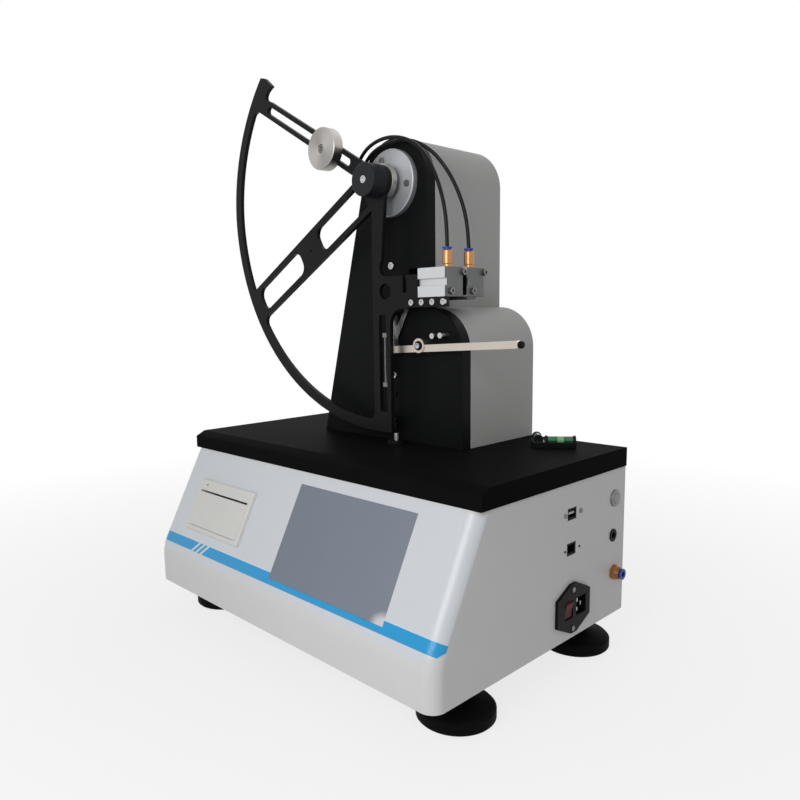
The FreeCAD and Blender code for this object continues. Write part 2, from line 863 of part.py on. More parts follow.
def push_button():
    """Metal push button with its cap, low in the panel wall."""
    body = make_body("push_button_body", HALF_WIDTH, size.button_y, BUTTON_Z, TURNS["right"])
    bore = size.button_cap + size.running_gap * 2
    turn(body, "housing", [
        (ZERO, as_size(-22)), (size.button_thread, as_size(-22)), (size.button_thread, ZERO),
        (size.button_bezel, ZERO), (size.button_bezel, as_size(1.5)), (as_size(7.5), as_size(2.2)),
        (bore, as_size(2.2)), (bore, as_size(-6)), (ZERO, as_size(-6)),
    ])
    cap = make_body("push_button_cap", HALF_WIDTH, size.button_y, BUTTON_Z, TURNS["right"])
    turn(cap, "cap", [
        (ZERO, size.button_travel - 5.5), (size.button_cap, size.button_travel - 5.5),
        (size.button_cap, as_size(2.4)), (ZERO, as_size(3.0)),
    ])


def round_socket():
    """Small round socket with an open middle."""
    body = make_body("round_socket", HALF_WIDTH, size.jack_y, JACK_Z, TURNS["right"])
    radius = size.jack_radius
    turn(body, "barrel", [
        (ZERO, as_size(-14)), (radius, as_size(-14)), (radius, ZERO), (radius + 1.2, ZERO),
        (radius + 1.2, as_size(1.2)), (as_size(3.2), as_size(1.2)), (as_size(3.2), as_size(-10)),
        (ZERO, as_size(-10)),
    ])


def air_port():
    """Brass air fitting with its blue release collet."""
    body = make_body("air_fitting", HALF_WIDTH, size.port_y, size.port_z, TURNS["right"])
    seat = size.collet_radius + size.running_gap * 2
    pad(body, "nut", "XY_Plane", [hexagon(ZERO, ZERO, size.port_flat)], ZERO, as_size(5))
    turn(body, "barrel", [
        (size.tube_bore, as_size(-20)), (size.port_thread, as_size(-20)),
        (size.port_thread, size.collet_tip - 3), (seat, size.collet_tip - 3),
        (seat, as_size(2)), (size.tube_bore, as_size(2)),
    ])
    pocket(body, "seat", "XY_Plane", [(ZERO, ZERO, seat)], as_size(2), size.collet_tip)
    pocket(body, "bore", "XY_Plane", [(ZERO, ZERO, size.tube_bore)], as_size(-20), as_size(2))
    collet(make_body("air_collet", HALF_WIDTH, size.port_y, size.port_z, TURNS["right"]),
           size.collet_radius, size.tube_bore, size.collet_tip, as_size(7))


def collet(body, radius, bore, tip, depth):
    """Release ring of a push-in fitting: sleeve with a wider lip."""
    turn(body, "ring", [
        (bore, tip - depth), (radius, tip - depth), (radius, tip - 1.6),
        (radius + 1.2, tip - 1.6), (radius + 1.2, tip), (bore, tip),
    ])


def foot(label, x, y):
    """Adjustable foot: rubber pad, metal cone and threaded stud."""
    body = make_body(label, x, y, ZERO)
    radius, stud = size.foot_radius, size.foot_stud
    low, rubber = -size.foot_drop, size.foot_rubber - size.foot_drop
    turn(body, "foot", [
        (ZERO, low), (radius - 2, low), (radius, low + 2), (radius, rubber), (radius - 3, rubber + 3),
        (radius - 12, rubber + 5), (as_size(14), rubber + 9), (as_size(12), as_size(-7)),
        (as_size(9), as_size(-7)), (as_size(9), as_size(-0.3)), (stud, as_size(-0.3)),
        (stud, size.bottom_sheet + 12), (ZERO, size.bottom_sheet + 12),
    ])


def bubble_level():
    """Two vials at right angles in a black holder on the plate."""
    turn_to = Rotation(Vector(0, 0, 1), size.level_turn.value)
    body = make_body("level_body", size.level_x, size.level_y, PLATE_TOP, turn_to)
    width, depth, height = size.level_length, size.level_depth, size.level_height
    bar = size.vial_radius * 2 + 4
    seat = size.vial_radius + size.running_gap
    centre = height - size.vial_radius - 1
    pad(body, "holder", "XY_Plane", [[
        (ZERO, ZERO), (width, ZERO), (width, bar), (bar, bar), (bar, depth), (ZERO, depth),
    ]], ZERO, height)
    long_low = (width - size.vial_length) / 2 + bar / 2
    short_low = bar + 1
    short = depth - bar - 3
    pocket(body, "long_seat", "YZ_Plane",
           [box(bar / 2 - seat, bar / 2 + seat, centre - seat, height + 1)],
           long_low, long_low + size.vial_length)
    pocket(body, "short_seat", "XZ_Plane",
           [box(bar / 2 - seat, bar / 2 + seat, centre - seat, height + 1)],
           short_low, short_low + short)
    vials = make_body("level_vials", size.level_x, size.level_y, PLATE_TOP, turn_to)
    pad(vials, "long_vial", "YZ_Plane", [(bar / 2, centre, size.vial_radius)],
        long_low, long_low + size.vial_length)
    pad(vials, "short_vial", "XZ_Plane", [(bar / 2, centre, size.vial_radius)],
        short_low, short_low + short)


# Tower

def tower_outline(inset):
    """Front outline (x, z) of the tower: round head, slanted flank, round shoulder."""
    radius = size.tower_head - inset
    flank = size.tower_flank_angle
    head_x, head_z = size.axis_x, AXIS_Z
    touch_x, touch_z = head_x - radius * flank.cos(), head_z + radius * flank.sin()
    foot_x = touch_x - (touch_z - PLATE_TOP) * flank.tan()
    side = head_x + radius
    shoulder = size.shoulder_radius - inset
    top = SHOULDER_TOP - inset
    right = SHOULDER_X - inset
    return [(foot_x, PLATE_TOP), (right, PLATE_TOP), (right, top - shoulder, shoulder),
            (right - shoulder, top), (side, top), (side, head_z, radius),
            (head_x, head_z + radius, radius), (touch_x, touch_z)]


def notch(right):
    """Opening in the tower's right side for the fixed clamp."""
    return box(ANVIL_LEFT, right, NOTCH_LOW, NOTCH_HIGH)


def tower_front_plate():
    """Thick black front plate with the bearing bore and the clamp's notch."""
    body = make_body("tower_front_plate")
    front, back = -size.tower_front, size.front_plate - size.tower_front
    pad(body, "plate", "XZ_Plane", [tower_outline(ZERO)], front, back)
    pocket(body, "notch", "XZ_Plane", [notch(TOWER_SIDE + 5)], front, back)
    pocket(body, "bearing_bore", "XZ_Plane",
           [(size.axis_x, AXIS_Z, size.sleeve_radius)], front, back)


def tower_cover():
    """Pale sheet cover: a wall round the tower and its rear face."""
    body = make_body("tower_cover")
    front, back = size.front_plate - size.tower_front, size.rear_reach
    pad(body, "cover", "XZ_Plane", [tower_outline(ZERO)], front, back)
    pocket(body, "inside", "XZ_Plane", [tower_outline(size.cover_wall)],
           front, back - size.cover_wall)


def hub():
    """Flange with its bearing sleeve, two bearings, shaft, cap and encoder."""
    x, z = size.axis_x, AXIS_Z
    front = -(size.tower_front + size.flange_depth)
    flange = make_body("bearing_flange", x, ZERO, z, TURNS["front"])
    bore = size.bearing_radius
    face = -front
    seat = size.tower_front
    rear = seat - size.sleeve_depth
    turn(flange, "flange", [
        (size.shaft_radius + 3, rear + 13), (bore, rear + 13), (bore, rear),
        (size.sleeve_radius, rear), (size.sleeve_radius, seat), (size.flange_radius, seat),
        (size.flange_radius, face - 1), (size.flange_radius - 1, face), (bore, face),
        (bore, face - 3 - size.bearing_width), (size.shaft_radius + 3, face - 3 - size.bearing_width),
    ])
    pocket(flange, "screw_holes", "XY_Plane",
           [(u, v, size.flange_screw_shank) for u, v in flange_screw_spots(ZERO, ZERO)],
           seat, face)
    bearings = make_body("bearings", x, ZERO, z, TURNS["front"])
    inner = size.shaft_radius + size.running_gap
    turn(bearings, "front_bearing", ring(bore, inner, face - 3 - size.bearing_width, face - 3))
    turn(bearings, "rear_bearing", ring(bore, inner, rear + 13 - size.bearing_width, rear + 13))
    shaft = make_body("pendulum_shaft", x, ZERO, z, TURNS["front"])
    plate_back = size.plate_front - size.pendulum_thickness
    turn(shaft, "shaft", [
        (ZERO, rear - 8), (size.shaft_radius, rear - 8), (size.shaft_radius, face - 2),
        (size.shaft_radius + 2, face - 2), (size.shaft_radius + 2, plate_back - size.collar_depth),
        (size.collar_radius, plate_back - size.collar_depth), (size.collar_radius, plate_back),
        (size.shaft_radius, plate_back), (size.shaft_radius, size.plate_front + 10),
        (ZERO, size.plate_front + 10),
    ])
    cap = make_body("hub_cap", x, ZERO, z, TURNS["front"])
    nose = size.plate_front + size.cap_depth
    turn(cap, "cap", [
        (size.shaft_radius, size.plate_front), (size.hub_radius, size.plate_front),
        (size.hub_radius, nose - 0.8), (size.hub_radius - 0.8, nose), (as_size(4.5), nose),
        (as_size(4.5), nose - 2.5), (ZERO, nose - 2.5), (ZERO, size.plate_front + 10),
        (size.shaft_radius, size.plate_front + 10),
    ])
    encoder = make_body("encoder", x, ZERO, z, TURNS["front"])
    turn(encoder, "housing", [
        (inner, rear), (size.encoder_radius, rear), (size.encoder_radius, rear - 4),
        (size.encoder_radius - 2, rear - size.encoder_depth), (ZERO, rear - size.encoder_depth),
        (ZERO, rear - 10), (inner, rear - 10),
    ])


def screw_group(label, plane, spots, face, head_radius, head_height, shank_radius, shank_length,
                outward, x=ZERO, y=ZERO, z=ZERO):
    """Cap screws with hexagon sockets, heads on a face and shanks behind it."""
    body = make_body(label, x, y, z)
    face = as_size(face)
    top = face + outward * head_height
    low, high = (face, top) if outward > 0 else (top, face)
    pad(body, "heads", plane, [(u, v, head_radius) for u, v in spots], low, high)
    end = face - outward * shank_length
    low, high = (end, face) if outward > 0 else (face, end)
    pad(body, "shanks", plane, [(u, v, shank_radius) for u, v in spots], low, high)
    deep = top - outward * head_height * 0.6
    low, high = (deep, top) if outward > 0 else (top, deep)
    pocket(body, "sockets", plane, [hexagon(u, v, head_radius * 0.5) for u, v in spots], low, high)
    return body


FLANGE_SCREWS = [112.0, 232.0, 352.0]


def flange_screw_spots(x, z):
    """Centres of the flange's three screws."""
    return [(x + size.flange_screw_circle * math.cos(math.radians(angle)),
             z + size.flange_screw_circle * math.sin(math.radians(angle)))
            for angle in FLANGE_SCREWS]


# Pendulum

def strip_screw_places():
    """Positions along X of the four screws in the strip below the cylinder."""
    first, last = size.strip_screw_first, size.strip_screw_last
    return [size.axis_x + first + (last - first) * index / 3 for index in range(4)]


def axis_body(label, keep=True):
    """A body whose origin lies on the pendulum's axis."""
    return make_body(label, size.axis_x, ZERO, AXIS_Z, None, keep)


def pendulum_plate():
    """Cut-out sector plate: rim, three arms and the carrier for the clamp."""
    body = axis_body("pendulum_plate")
    front, back = -size.plate_front, size.pendulum_thickness - size.plate_front
    outer, inner = size.sector_radius, size.sector_radius - size.rim_width
    upper, middle = size.upper_angle, size.middle_angle
    half_upper, half_middle = size.upper_width / 2, size.middle_width / 2
    end_angle = as_size(270) + 2
    knots = [upper, as_size(180), middle, as_size(240), end_angle]
    rim = [(*polar(outer, angle), outer) for angle in knots[:-1]]
    rim.append(polar(outer, knots[-1]))
    rim += [(*polar(inner, angle), -inner) for angle in reversed(knots[1:])]
    rim.append(polar(inner, knots[0]))
    pad(body, "rim", "XZ_Plane", [rim], front, back)
    pad(body, "hub", "XZ_Plane", [(ZERO, ZERO, size.hub_radius)], front, back)
    tip = outer - 1
    horn = -size.horn_width
    pad(body, "upper_arm", "XZ_Plane", [[
        along(ZERO, -half_upper, upper), along(tip, -half_upper, upper),
        along(tip, half_upper, upper), along(ZERO, half_upper, upper)]], front, back)
    corner = (outer * outer - horn * horn).root()
    pad(body, "horn", "XZ_Plane", [[
        along(size.horn_start, ZERO, upper), along(size.horn_start, horn + 3, upper),
        along(size.horn_start - 2, horn, upper), (*along(corner, horn, upper), outer),
        along(outer, ZERO, upper)]], front, back)
    pad(body, "middle_arm", "XZ_Plane", [[
        along(ZERO, -half_middle, middle), along(outer - 2, -half_middle, middle),
        along(outer - 2, half_middle, middle), along(ZERO, half_middle, middle)]], front, back)
    bottom = (outer * outer - size.arm_right * size.arm_right).root()
    left_bottom = (outer * outer - size.arm_left * size.arm_left).root()
    corner_x = size.arm_right + size.strip_radius + 11
    pad(body, "vertical_arm", "XZ_Plane", [[
        (-size.arm_left, ZERO), (-size.arm_left, -left_bottom, outer),
        (size.arm_right, -bottom), (size.arm_right, -(size.strip_low + size.strip_radius + 1),
                                    -size.strip_radius),
        (size.arm_right + size.strip_radius, -(size.strip_low + 1)),
        (corner_x, -size.strip_low), (size.strip_right, -size.strip_low),
        (size.strip_right, -size.strip_top), (size.carrier_right, -size.strip_top),
        (size.carrier_right, -size.carrier_top), (size.neck_low_right + 10, -size.carrier_top, -10),
        (size.neck_low_right, -size.neck_low), (size.neck_right, ZERO),
    ]], front, back)
    gap_right = size.jaw_gap_left + size.jaw_gap_width
    half_slot = size.upper_slot_width / 2
    half_window = size.middle_slot_width / 2
    pocket(body, "slots", "XZ_Plane", [
        [(*along(size.upper_slot_start, half_slot, upper), half_slot),
         along(size.upper_slot_start, -half_slot, upper),
         (*along(size.upper_slot_end, -half_slot, upper), half_slot),
         along(size.upper_slot_end, half_slot, upper)],
        [along(size.middle_slot_inner, half_window, middle),
         along(size.middle_slot_inner, -half_window, middle),
         along(size.middle_slot_break, -half_window, middle),
         along(size.middle_slot_break, half_window, middle)],
        [along(size.middle_slot_outer, half_window, middle),
         along(size.middle_slot_outer, -half_window, middle),
         along(size.middle_slot_end, -half_window, middle),
         along(size.middle_slot_end, half_window, middle)],
        box(size.window_left, size.window_right, -size.window_low, -size.window_top),
        (size.carrier_hole_x, -size.carrier_hole_drop, size.carrier_hole_radius),
    ], front, back)
    pocket(body, "jaw_gap", "XZ_Plane", [
        box(size.jaw_gap_left, gap_right, -(size.carrier_top + size.jaw_gap_depth),
            -(size.carrier_top - 5))], front, back)
    screw_height = -(size.strip_top + size.strip_low) / 2
    pocket(body, "holes", "XZ_Plane",
           [(ZERO, ZERO, size.shaft_radius)]
           + [(spot - size.axis_x, screw_height, size.strip_screw_shank)
              for spot in strip_screw_places()], front, back)
    depth = (front + back) / 2
    corners = [along(place_along, side * half_window, middle)
               for place_along in (size.middle_slot_break, size.middle_slot_outer,
                                   size.middle_slot_end) for side in (-1, 1)]
    round_edges(body, "slot_corners", size.slot_corner, [(u, depth, v) for u, v in corners])
    inner_reach = (inner * inner - half_middle * half_middle).root()
    upper_reach = (inner * inner - half_upper * half_upper).root()
    arm_reach = (inner * inner - size.arm_left * size.arm_left).root()
    joins = [along(upper_reach, half_upper, upper), along(inner_reach, half_middle, middle),
             (-size.arm_left, -arm_reach)]
    round_edges(body, "rim_corners", size.rim_corner, [(u, depth, v) for u, v in joins])
    sharp = [along(inner_reach, -half_middle, middle)]
    round_edges(body, "sharp_corners", size.sharp_corner, [(u, depth, v) for u, v in sharp])
    window = [(u, depth, v) for u in (size.window_left, size.window_right)
              for v in (-size.window_low, -size.window_top)]
    round_edges(body, "window_corners", size.sharp_corner, window)
    lug = make_body("stop_lug")
    lug_right = STOP_X - size.stop_radius - size.lug_gap
    lug_low = PLATE_TOP + size.lug_rise
    pad(lug, "block", "XZ_Plane",
        [box(lug_right - size.lug_width, lug_right, lug_low, lug_low + size.lug_height)],
        back, back + size.lug_depth)


def pendulum_clamp():
    """Anvil block, moving jaw and cylinder carried by the pendulum plate."""
    plate_back = size.pendulum_thickness - size.plate_front
    tear_front = -size.tear_gap_front
    gap = size.jaw_opening_gap
    axis = size.cylinder_depth / 2 - size.cylinder_front
    anvil = make_body("pendulum_jaw_block")
    pad(anvil, "anvil", "XZ_Plane", [[
        (ANVIL_LEFT, STRIP_LOW), (CYLINDER_LEFT, STRIP_LOW),
        (CYLINDER_LEFT, STRIP_TOP), (JAW_RIGHT + size.moving_jaw_width, STRIP_TOP),
        (JAW_RIGHT + size.moving_jaw_width, JAW_LOW), (JAW_LEFT, JAW_LOW),
        (JAW_LEFT, JAW_TOP), (ANVIL_LEFT, JAW_TOP)]], plate_back, tear_front)
    pad(anvil, "shelf", "XZ_Plane",
        [box(CYLINDER_LEFT, CYLINDER_RIGHT, STRIP_LOW, STRIP_TOP)],
        plate_back, size.cylinder_depth - size.cylinder_front)
    jaw = make_body("pendulum_moving_jaw")
    right = JAW_RIGHT + size.moving_jaw_width
    pad(jaw, "jaw", "XZ_Plane", [box(JAW_RIGHT, right, JAW_LOW + gap, JAW_TOP)],
        plate_back + gap, tear_front)
    pad(jaw, "rod", "YZ_Plane", [(axis, CYLINDER_MIDDLE, size.rod_radius)],
        right - 1, CYLINDER_LEFT + size.rod_length)
    cylinder("pendulum_cylinder", size.cylinder_front, axis)


def fixed_clamp():
    """Anvil block in the tower's notch, moving jaw, cylinder and its bracket."""
    gap = size.jaw_opening_gap
    axis = size.cylinder_depth / 2 - size.rear_cylinder_front
    front = size.tear_gap - size.tear_gap_front
    back = front + size.jaw_depth
    block = make_body("fixed_jaw_block")
    pad(block, "anvil", "XZ_Plane", [[
        (ANVIL_LEFT, NOTCH_LOW), (JAW_RIGHT, NOTCH_LOW),
        (JAW_RIGHT, JAW_LOW), (JAW_LEFT, JAW_LOW),
        (JAW_LEFT, JAW_TOP), (ANVIL_LEFT, JAW_TOP)]], front, back)
    mover = make_body("fixed_moving_jaw")
    low = JAW_LOW + gap
    cross_left = TOWER_SIDE + size.jaw_travel + gap
    cross_right = CYLINDER_LEFT - gap
    pad(mover, "jaw", "XZ_Plane", [box(JAW_RIGHT, cross_right, low, JAW_TOP)],
        front, back - gap * 2)
    pad(mover, "cross_plate", "XZ_Plane", [box(cross_left, cross_right, low, JAW_TOP)],
        front, axis + size.rod_radius)
    pad(mover, "rod", "YZ_Plane", [(axis, CYLINDER_MIDDLE, size.rod_radius)],
        cross_right - 1, CYLINDER_LEFT + size.rod_length)
    cylinder("fixed_cylinder", size.rear_cylinder_front, axis)
    shelf = make_body("clamp_bracket")
    pad(shelf, "shelf", "XZ_Plane",
        [box(TOWER_SIDE, CYLINDER_RIGHT, STRIP_LOW, STRIP_TOP)],
        -size.rear_cylinder_front, size.cylinder_depth - size.rear_cylinder_front)


def cylinder(label, front, axis):
    """Square air cylinder with its switch groove and rod bore."""
    body = make_body(label)
    left, right = CYLINDER_LEFT, CYLINDER_RIGHT
    middle = CYLINDER_MIDDLE
    pad(body, "block", "XZ_Plane", [box(left, right, STRIP_TOP, CYLINDER_TOP)],
        -front, size.cylinder_depth - front)
    pocket(body, "rod_bore", "YZ_Plane", [(axis, middle, size.rod_radius + size.running_gap)],
           left - 1, left + 20)
    pocket(body, "groove", "YZ_Plane",
           [box(-front - 1, size.groove_depth - front, middle - size.groove_half,
                middle + size.groove_half)], left, right)


def fitting(label, y):
    """Brass push-in fitting on a cylinder and its blue collet."""
    low = CYLINDER_TOP
    body = make_body(label + "_fitting", CYLINDER_RIGHT - size.fitting_inset, y, low)
    radius = size.fitting_radius
    seat = size.small_collet_radius + size.running_gap
    top = size.fitting_height
    turn(body, "fitting", [
        (size.small_tube_radius, ZERO), (radius - 0.9, ZERO), (radius - 0.9, as_size(3)),
        (radius - 0.2, as_size(3.5)), (radius - 0.2, top - 1), (radius - 0.9, top), (seat, top), (seat, top - 8), (size.small_tube_radius, top - 8),
    ])
    ring_body = make_body(label + "_collet", CYLINDER_RIGHT - size.fitting_inset, y, low)
    tip = top + size.small_collet_height
    turn(ring_body, "ring", [
        (size.small_tube_radius + 0.1, top - 5.7), (size.small_collet_radius, top - 5.7),
        (size.small_collet_radius, tip - 1.5), (size.small_collet_radius + 1, tip - 1.5),
        (size.small_collet_radius + 1, tip), (size.small_tube_radius + 0.1, tip),
    ])


def counterweight():
    """Turned weight clamped through the upper arm's slot."""
    x, z = along(size.weight_place, ZERO, size.upper_angle)
    body = make_body("counterweight", size.axis_x + x, ZERO, AXIS_Z + z, TURNS["front"])
    front, back = size.plate_front, size.plate_front - size.pendulum_thickness
    face = front + size.weight_depth
    neck = size.upper_slot_width / 2 - 0.1
    nut = size.upper_width / 2 - 1
    turn(body, "weight", [
        (ZERO, back - size.weight_nut_depth), (nut, back - size.weight_nut_depth), (nut, back),
        (neck, back), (neck, front), (size.weight_radius, front), (size.weight_radius, face - 0.8),
        (size.weight_radius - 0.8, face), (as_size(4.5), face), (as_size(4.5), face - 3),
        (ZERO, face - 3),
    ])


# Knife

def knife():
    """Lever, guide, slider and blade that cut the first slit."""
    x, z = PIVOT_X, PIVOT_Z
    front = -size.lever_front
    back = front + size.lever_thickness
    lever = make_body("knife_lever", x, ZERO, z)
    half = size.lever_width / 2
    tail_x, tail_z = -size.lever_tail, -size.lever_tail_drop
    tip_x, tip_z = size.lever_tip, size.lever_tip_rise
    pad(lever, "bar", "XZ_Plane", [[
        (tail_x, tail_z - half), (tip_x, tip_z - half, half), (tip_x, tip_z + half),
        (tail_x, tail_z + half)]], front, back)
    pad(lever, "eye", "XZ_Plane", [(ZERO, ZERO, size.pivot_radius)], front - 1, back)
    pocket(lever, "bore", "XZ_Plane", [(ZERO, ZERO, size.pivot_bore + size.running_gap)],
           front - 1, back)
    seat = -size.tower_front
    pivot = make_body("knife_pivot_screws")
    pad(pivot, "pin", "XZ_Plane", [(x, z, size.pivot_bore)], front - 1, seat)
    pad(pivot, "collar", "XZ_Plane", [(x, z, size.pivot_radius - 1)], back + size.door_gap, seat)
    pad(pivot, "head", "XZ_Plane", [(x, z, as_size(5))], front - 3.3, front - 1.3)
    pad(pivot, "pin_head", "XZ_Plane", [(x, z, size.pivot_bore)], front - 1.5, front)
    pocket(pivot, "socket", "XZ_Plane", [hexagon(x, z, as_size(2.0))], front - 3.3, front - 1.8)
    rest = z + size.stop_screw_rise + half
    stops = [(x + place_along, rest + place_along / 18, as_size(3))
             for place_along in (size.stop_screw_first, size.stop_screw_last)]
    pad(pivot, "stops", "XZ_Plane", stops, front, seat)
    guide = make_body("knife_guide")
    left, right = SLIDER_LEFT, SLIDER_LEFT + size.slider_width
    gap = size.door_gap
    slide_front = back + gap
    pad(guide, "rail", "XZ_Plane",
        [box(left - 6, left - gap, SLIDER_LOW - 26, SLIDER_LOW + size.slider_height
             + 8)], slide_front + 1, seat)
    rod_x = PIVOT_X - size.rod_reach
    rod_low = SLIDER_LOW - size.return_rod_drop
    rod_y = seat - size.return_rod_radius * 2
    rod_high = rod_low + size.return_rod_length
    for name, low in (("low_lug", rod_low), ("high_lug", rod_high - 5)):
        pad(guide, name, "XZ_Plane", [box(rod_x - 3, left - 6, low, low + 5)],
            rod_y - size.return_rod_radius - 1, seat)
    pad(guide, "return_rod", "XY_Plane", [(rod_x, rod_y, size.return_rod_radius)],
        rod_low, rod_high)
    slider = make_body("knife_slider")
    pad(slider, "block", "XZ_Plane",
        [box(left, right, SLIDER_LOW, SLIDER_LOW + size.slider_height)],
        slide_front, seat - gap)
    blade = make_body("knife_blade")
    blade_back = size.blade_thickness - size.blade_front
    low = SLIDER_LOW + size.slider_height
    pad(blade, "blade", "XZ_Plane", [[
        (right, low - 27), (right + 18.5, low + 8), (right + 30, low + 23),
        (right + 27.5, low + 23), (right + 12, low + 6), (right, low - 12)]],
        -size.blade_front, blade_back)


def pendulum_stop():
    """Retractable pin that holds the pendulum, with its bush and actuator."""
    x, y = STOP_X, -size.stop_y
    bush = make_body("stop_bushing", x, y, PLATE_TOP)
    bore = size.stop_radius + size.running_gap
    spigot = size.bushing_radius - 3
    turn(bush, "bush", [
        (bore, -size.plate_height), (spigot, -size.plate_height), (spigot, ZERO),
        (size.bushing_radius, ZERO), (size.bushing_radius, size.bushing_height - 1),
        (size.bushing_radius - 1, size.bushing_height), (bore, size.bushing_height),
    ])
    pin = make_body("stop_pin", x, y, PLATE_TOP)
    turn(pin, "pin", rod(size.stop_radius, -size.plate_height - size.pin_reach, STOP_TIP))
    actuator = make_body("stop_actuator", x, y, size.casing_height)
    turn(actuator, "body", [
        (bore, ZERO), (size.actuator_radius, ZERO),
        (size.actuator_radius, -size.actuator_height), (ZERO, -size.actuator_height),
        (ZERO, -size.actuator_bore), (bore, -size.actuator_bore),
    ])


def block(x, y, width, depth):
    """Rectangle of a given width and depth about its centre."""
    return box(x - width / 2, x + width / 2, y - depth / 2, y + depth / 2)


def electronics():
    """Units that the base holds: supply, board on its posts, and air valve."""
    floor = size.bottom_sheet
    supply = make_body("power_supply")
    pad(supply, "case", "XY_Plane",
        [block(size.supply_x, size.supply_y, size.supply_width, size.supply_depth)],
        floor, floor + size.supply_height)
    board = make_body("control_board")
    lift = floor + size.board_post
    pad(board, "board", "XY_Plane",
        [block(size.board_x, size.board_y, size.board_width, size.board_depth)],
        lift, lift + size.board_thickness)
    reach_x = size.board_width / 2 - size.board_post_inset
    reach_y = size.board_depth / 2 - size.board_post_inset
    posts = [(size.board_x + side * reach_x, size.board_y + end * reach_y,
              size.board_post_radius) for side in (-1, 1) for end in (-1, 1)]
    pad(board, "posts", "XY_Plane", posts, floor, lift)
    valve = make_body("solenoid_valve")
    x, y = size.valve_x, size.valve_y
    top = floor + size.valve_height
    pad(valve, "manifold", "XY_Plane", [block(x, y, size.valve_width, size.valve_depth)],
        floor, top)
    coil = size.valve_depth / 4
    pad(valve, "coils", "XY_Plane",
        [block(x, y + side * coil, size.valve_width - 4, size.coil_depth) for side in (-1, 1)],
        top, top + size.coil_height)


# Air tubes

FRONT_TUBE = [(100, -38, 386), (99.5, -38, 402), (97, -37.5, 422), (91, -37.5, 444),
              (81, -38, 467), (66, -39, 488), (44, -40, 502), (17, -41, 507),
              (-9, -41, 502), (-26, -40, 489), (-34.5, -38.5, 473), (-34.5, -36.5, 461),
              (-31.5, -33, 454), (-31.5, -27, 454)]
REAR_TUBE = [(100, -3.5, 386), (99, -3.5, 402), (96, -5, 424), (90, -9, 446),
             (81, -16, 468), (67, -24, 488), (46, -33, 501), (19, -36, 502),
             (-5, -37, 497), (-20, -37, 485), (-27, -36.5, 471), (-28, -35.5, 461.5),
             (-26, -32.5, 456.5), (-26, -27, 456.5)]


def air_tube(label, points, radius):
    """Tube along straight runs joined by tangent arcs."""
    spots = [Vector(*point) for point in points]
    edges = []
    start = spots[0]
    radii = []
    for before, corner, after in zip(spots, spots[1:], spots[2:]):
        towards, away = (corner - before), (after - corner)
        run = 0.45 * min(towards.Length, away.Length)
        half_turn = towards.getAngle(away) / 2
        bend = run / math.tan(half_turn)
        radii.append(round(bend, 1))
        towards.normalize()
        away.normalize()
        first, last = corner - towards * run, corner + away * run
        bisector = (away - towards).normalize()
        centre = corner + bisector * (bend / math.cos(half_turn))
        middle = centre - bisector * bend
        edges.append(Part.LineSegment(start, first).toShape())
        edges.append(Part.Arc(first, middle, last).toShape())
        start = last
    edges.append(Part.LineSegment(start, spots[-1]).toShape())
    path = Part.Wire(edges)
    direction = (spots[1] - spots[0])
    section = Part.Wire(Part.Circle(spots[0], direction, radius.value).toShape())
    tube = path.makePipeShell([section], True, False)
    volume = math.pi * radius.value ** 2 * path.Length
    print(label, "length", round(path.Length, 1), "radii", radii,
          "volume ratio", round(tube.Volume / volume, 4))
    feature = doc.addObject("Part::Feature", label)
    feature.Label = label
    feature.Shape = tube
    place(feature)
    SUBPARTS.append(feature)


def build():
    """Build every sub-part of the instrument."""
    base_casing()
    bottom_plate()
    top_plate()
    front_film()
    touch_screen()
    display_module()
    printer()
    panel_socket("usb_socket", size.usb_y, USB_Z, size.usb_width, size.usb_height)
    panel_socket("data_socket", size.data_y, DATA_Z, size.data_width, size.data_height)
    power_inlet()
    push_button()
    round_socket()
    air_port()
    for row, depth in (("front", -size.foot_front), ("rear", size.foot_rear)):
        for side, sign in (("left", -1), ("right", 1)):
            foot(f"{row}_{side}_foot", sign * size.foot_x, depth)
    bubble_level()
    tower_front_plate()
    tower_cover()
    hub()
    flange_face = -(size.tower_front + size.flange_depth)
    screw_group("tower_screws", "XZ_Plane", flange_screw_spots(size.axis_x, AXIS_Z),
                flange_face, as_size(3.6), as_size(1.2), size.flange_screw_shank,
                size.flange_depth, -1)
    pendulum_plate()
    pendulum_clamp()
    fixed_clamp()
    fitting("pendulum", size.cylinder_depth / 2 - size.cylinder_front)
    fitting("fixed", size.cylinder_depth / 2 - size.rear_cylinder_front)
    counterweight()
    strip_middle = AXIS_Z - (size.strip_top + size.strip_low) / 2
    screw_group("pendulum_screws", "XZ_Plane",
                [(spot, strip_middle) for spot in strip_screw_places()],
                -size.plate_front, as_size(3.2), as_size(2.2), size.strip_screw_shank,
                size.pendulum_thickness, -1)
    knife()
    pendulum_stop()
    electronics()
    air_tube("pendulum_air_tube", FRONT_TUBE, size.small_tube_radius)
    air_tube("fixed_air_tube", REAR_TUBE, size.small_tube_radius)


def check_and_write():
    """Stop on any failed object, then write each sub-part to its own file."""
    for thing in doc.Objects:
        if "Invalid" in thing.State or "Error" in thing.State:
            raise RuntimeError(f"{thing.Label} failed: {thing.State}")
    os.makedirs("parts", exist_ok=True)
    for thing in SUBPARTS:
        if thing.Shape.isNull() or not thing.Shape.isValid() or thing.Shape.Volume <= 0:
            raise RuntimeError(f"{thing.Label} has no valid solid")
    for thing in SUBPARTS:
        thing.Shape.exportStep(os.path.join("parts", f"{thing.Label}.step"))
    print(len(SUBPARTS), "sub-parts written")


build()
doc.recompute()
check_and_write()
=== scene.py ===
"""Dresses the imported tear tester: finishes, small fittings, air tubes, camera and studio."""

import json
import logging
import math
from contextlib import contextmanager
from dataclasses import dataclass, field
from enum import Enum
from functools import cached_property
from typing import Callable, Iterator, Optional, Sequence

import bpy
from mathutils import Matrix, Vector

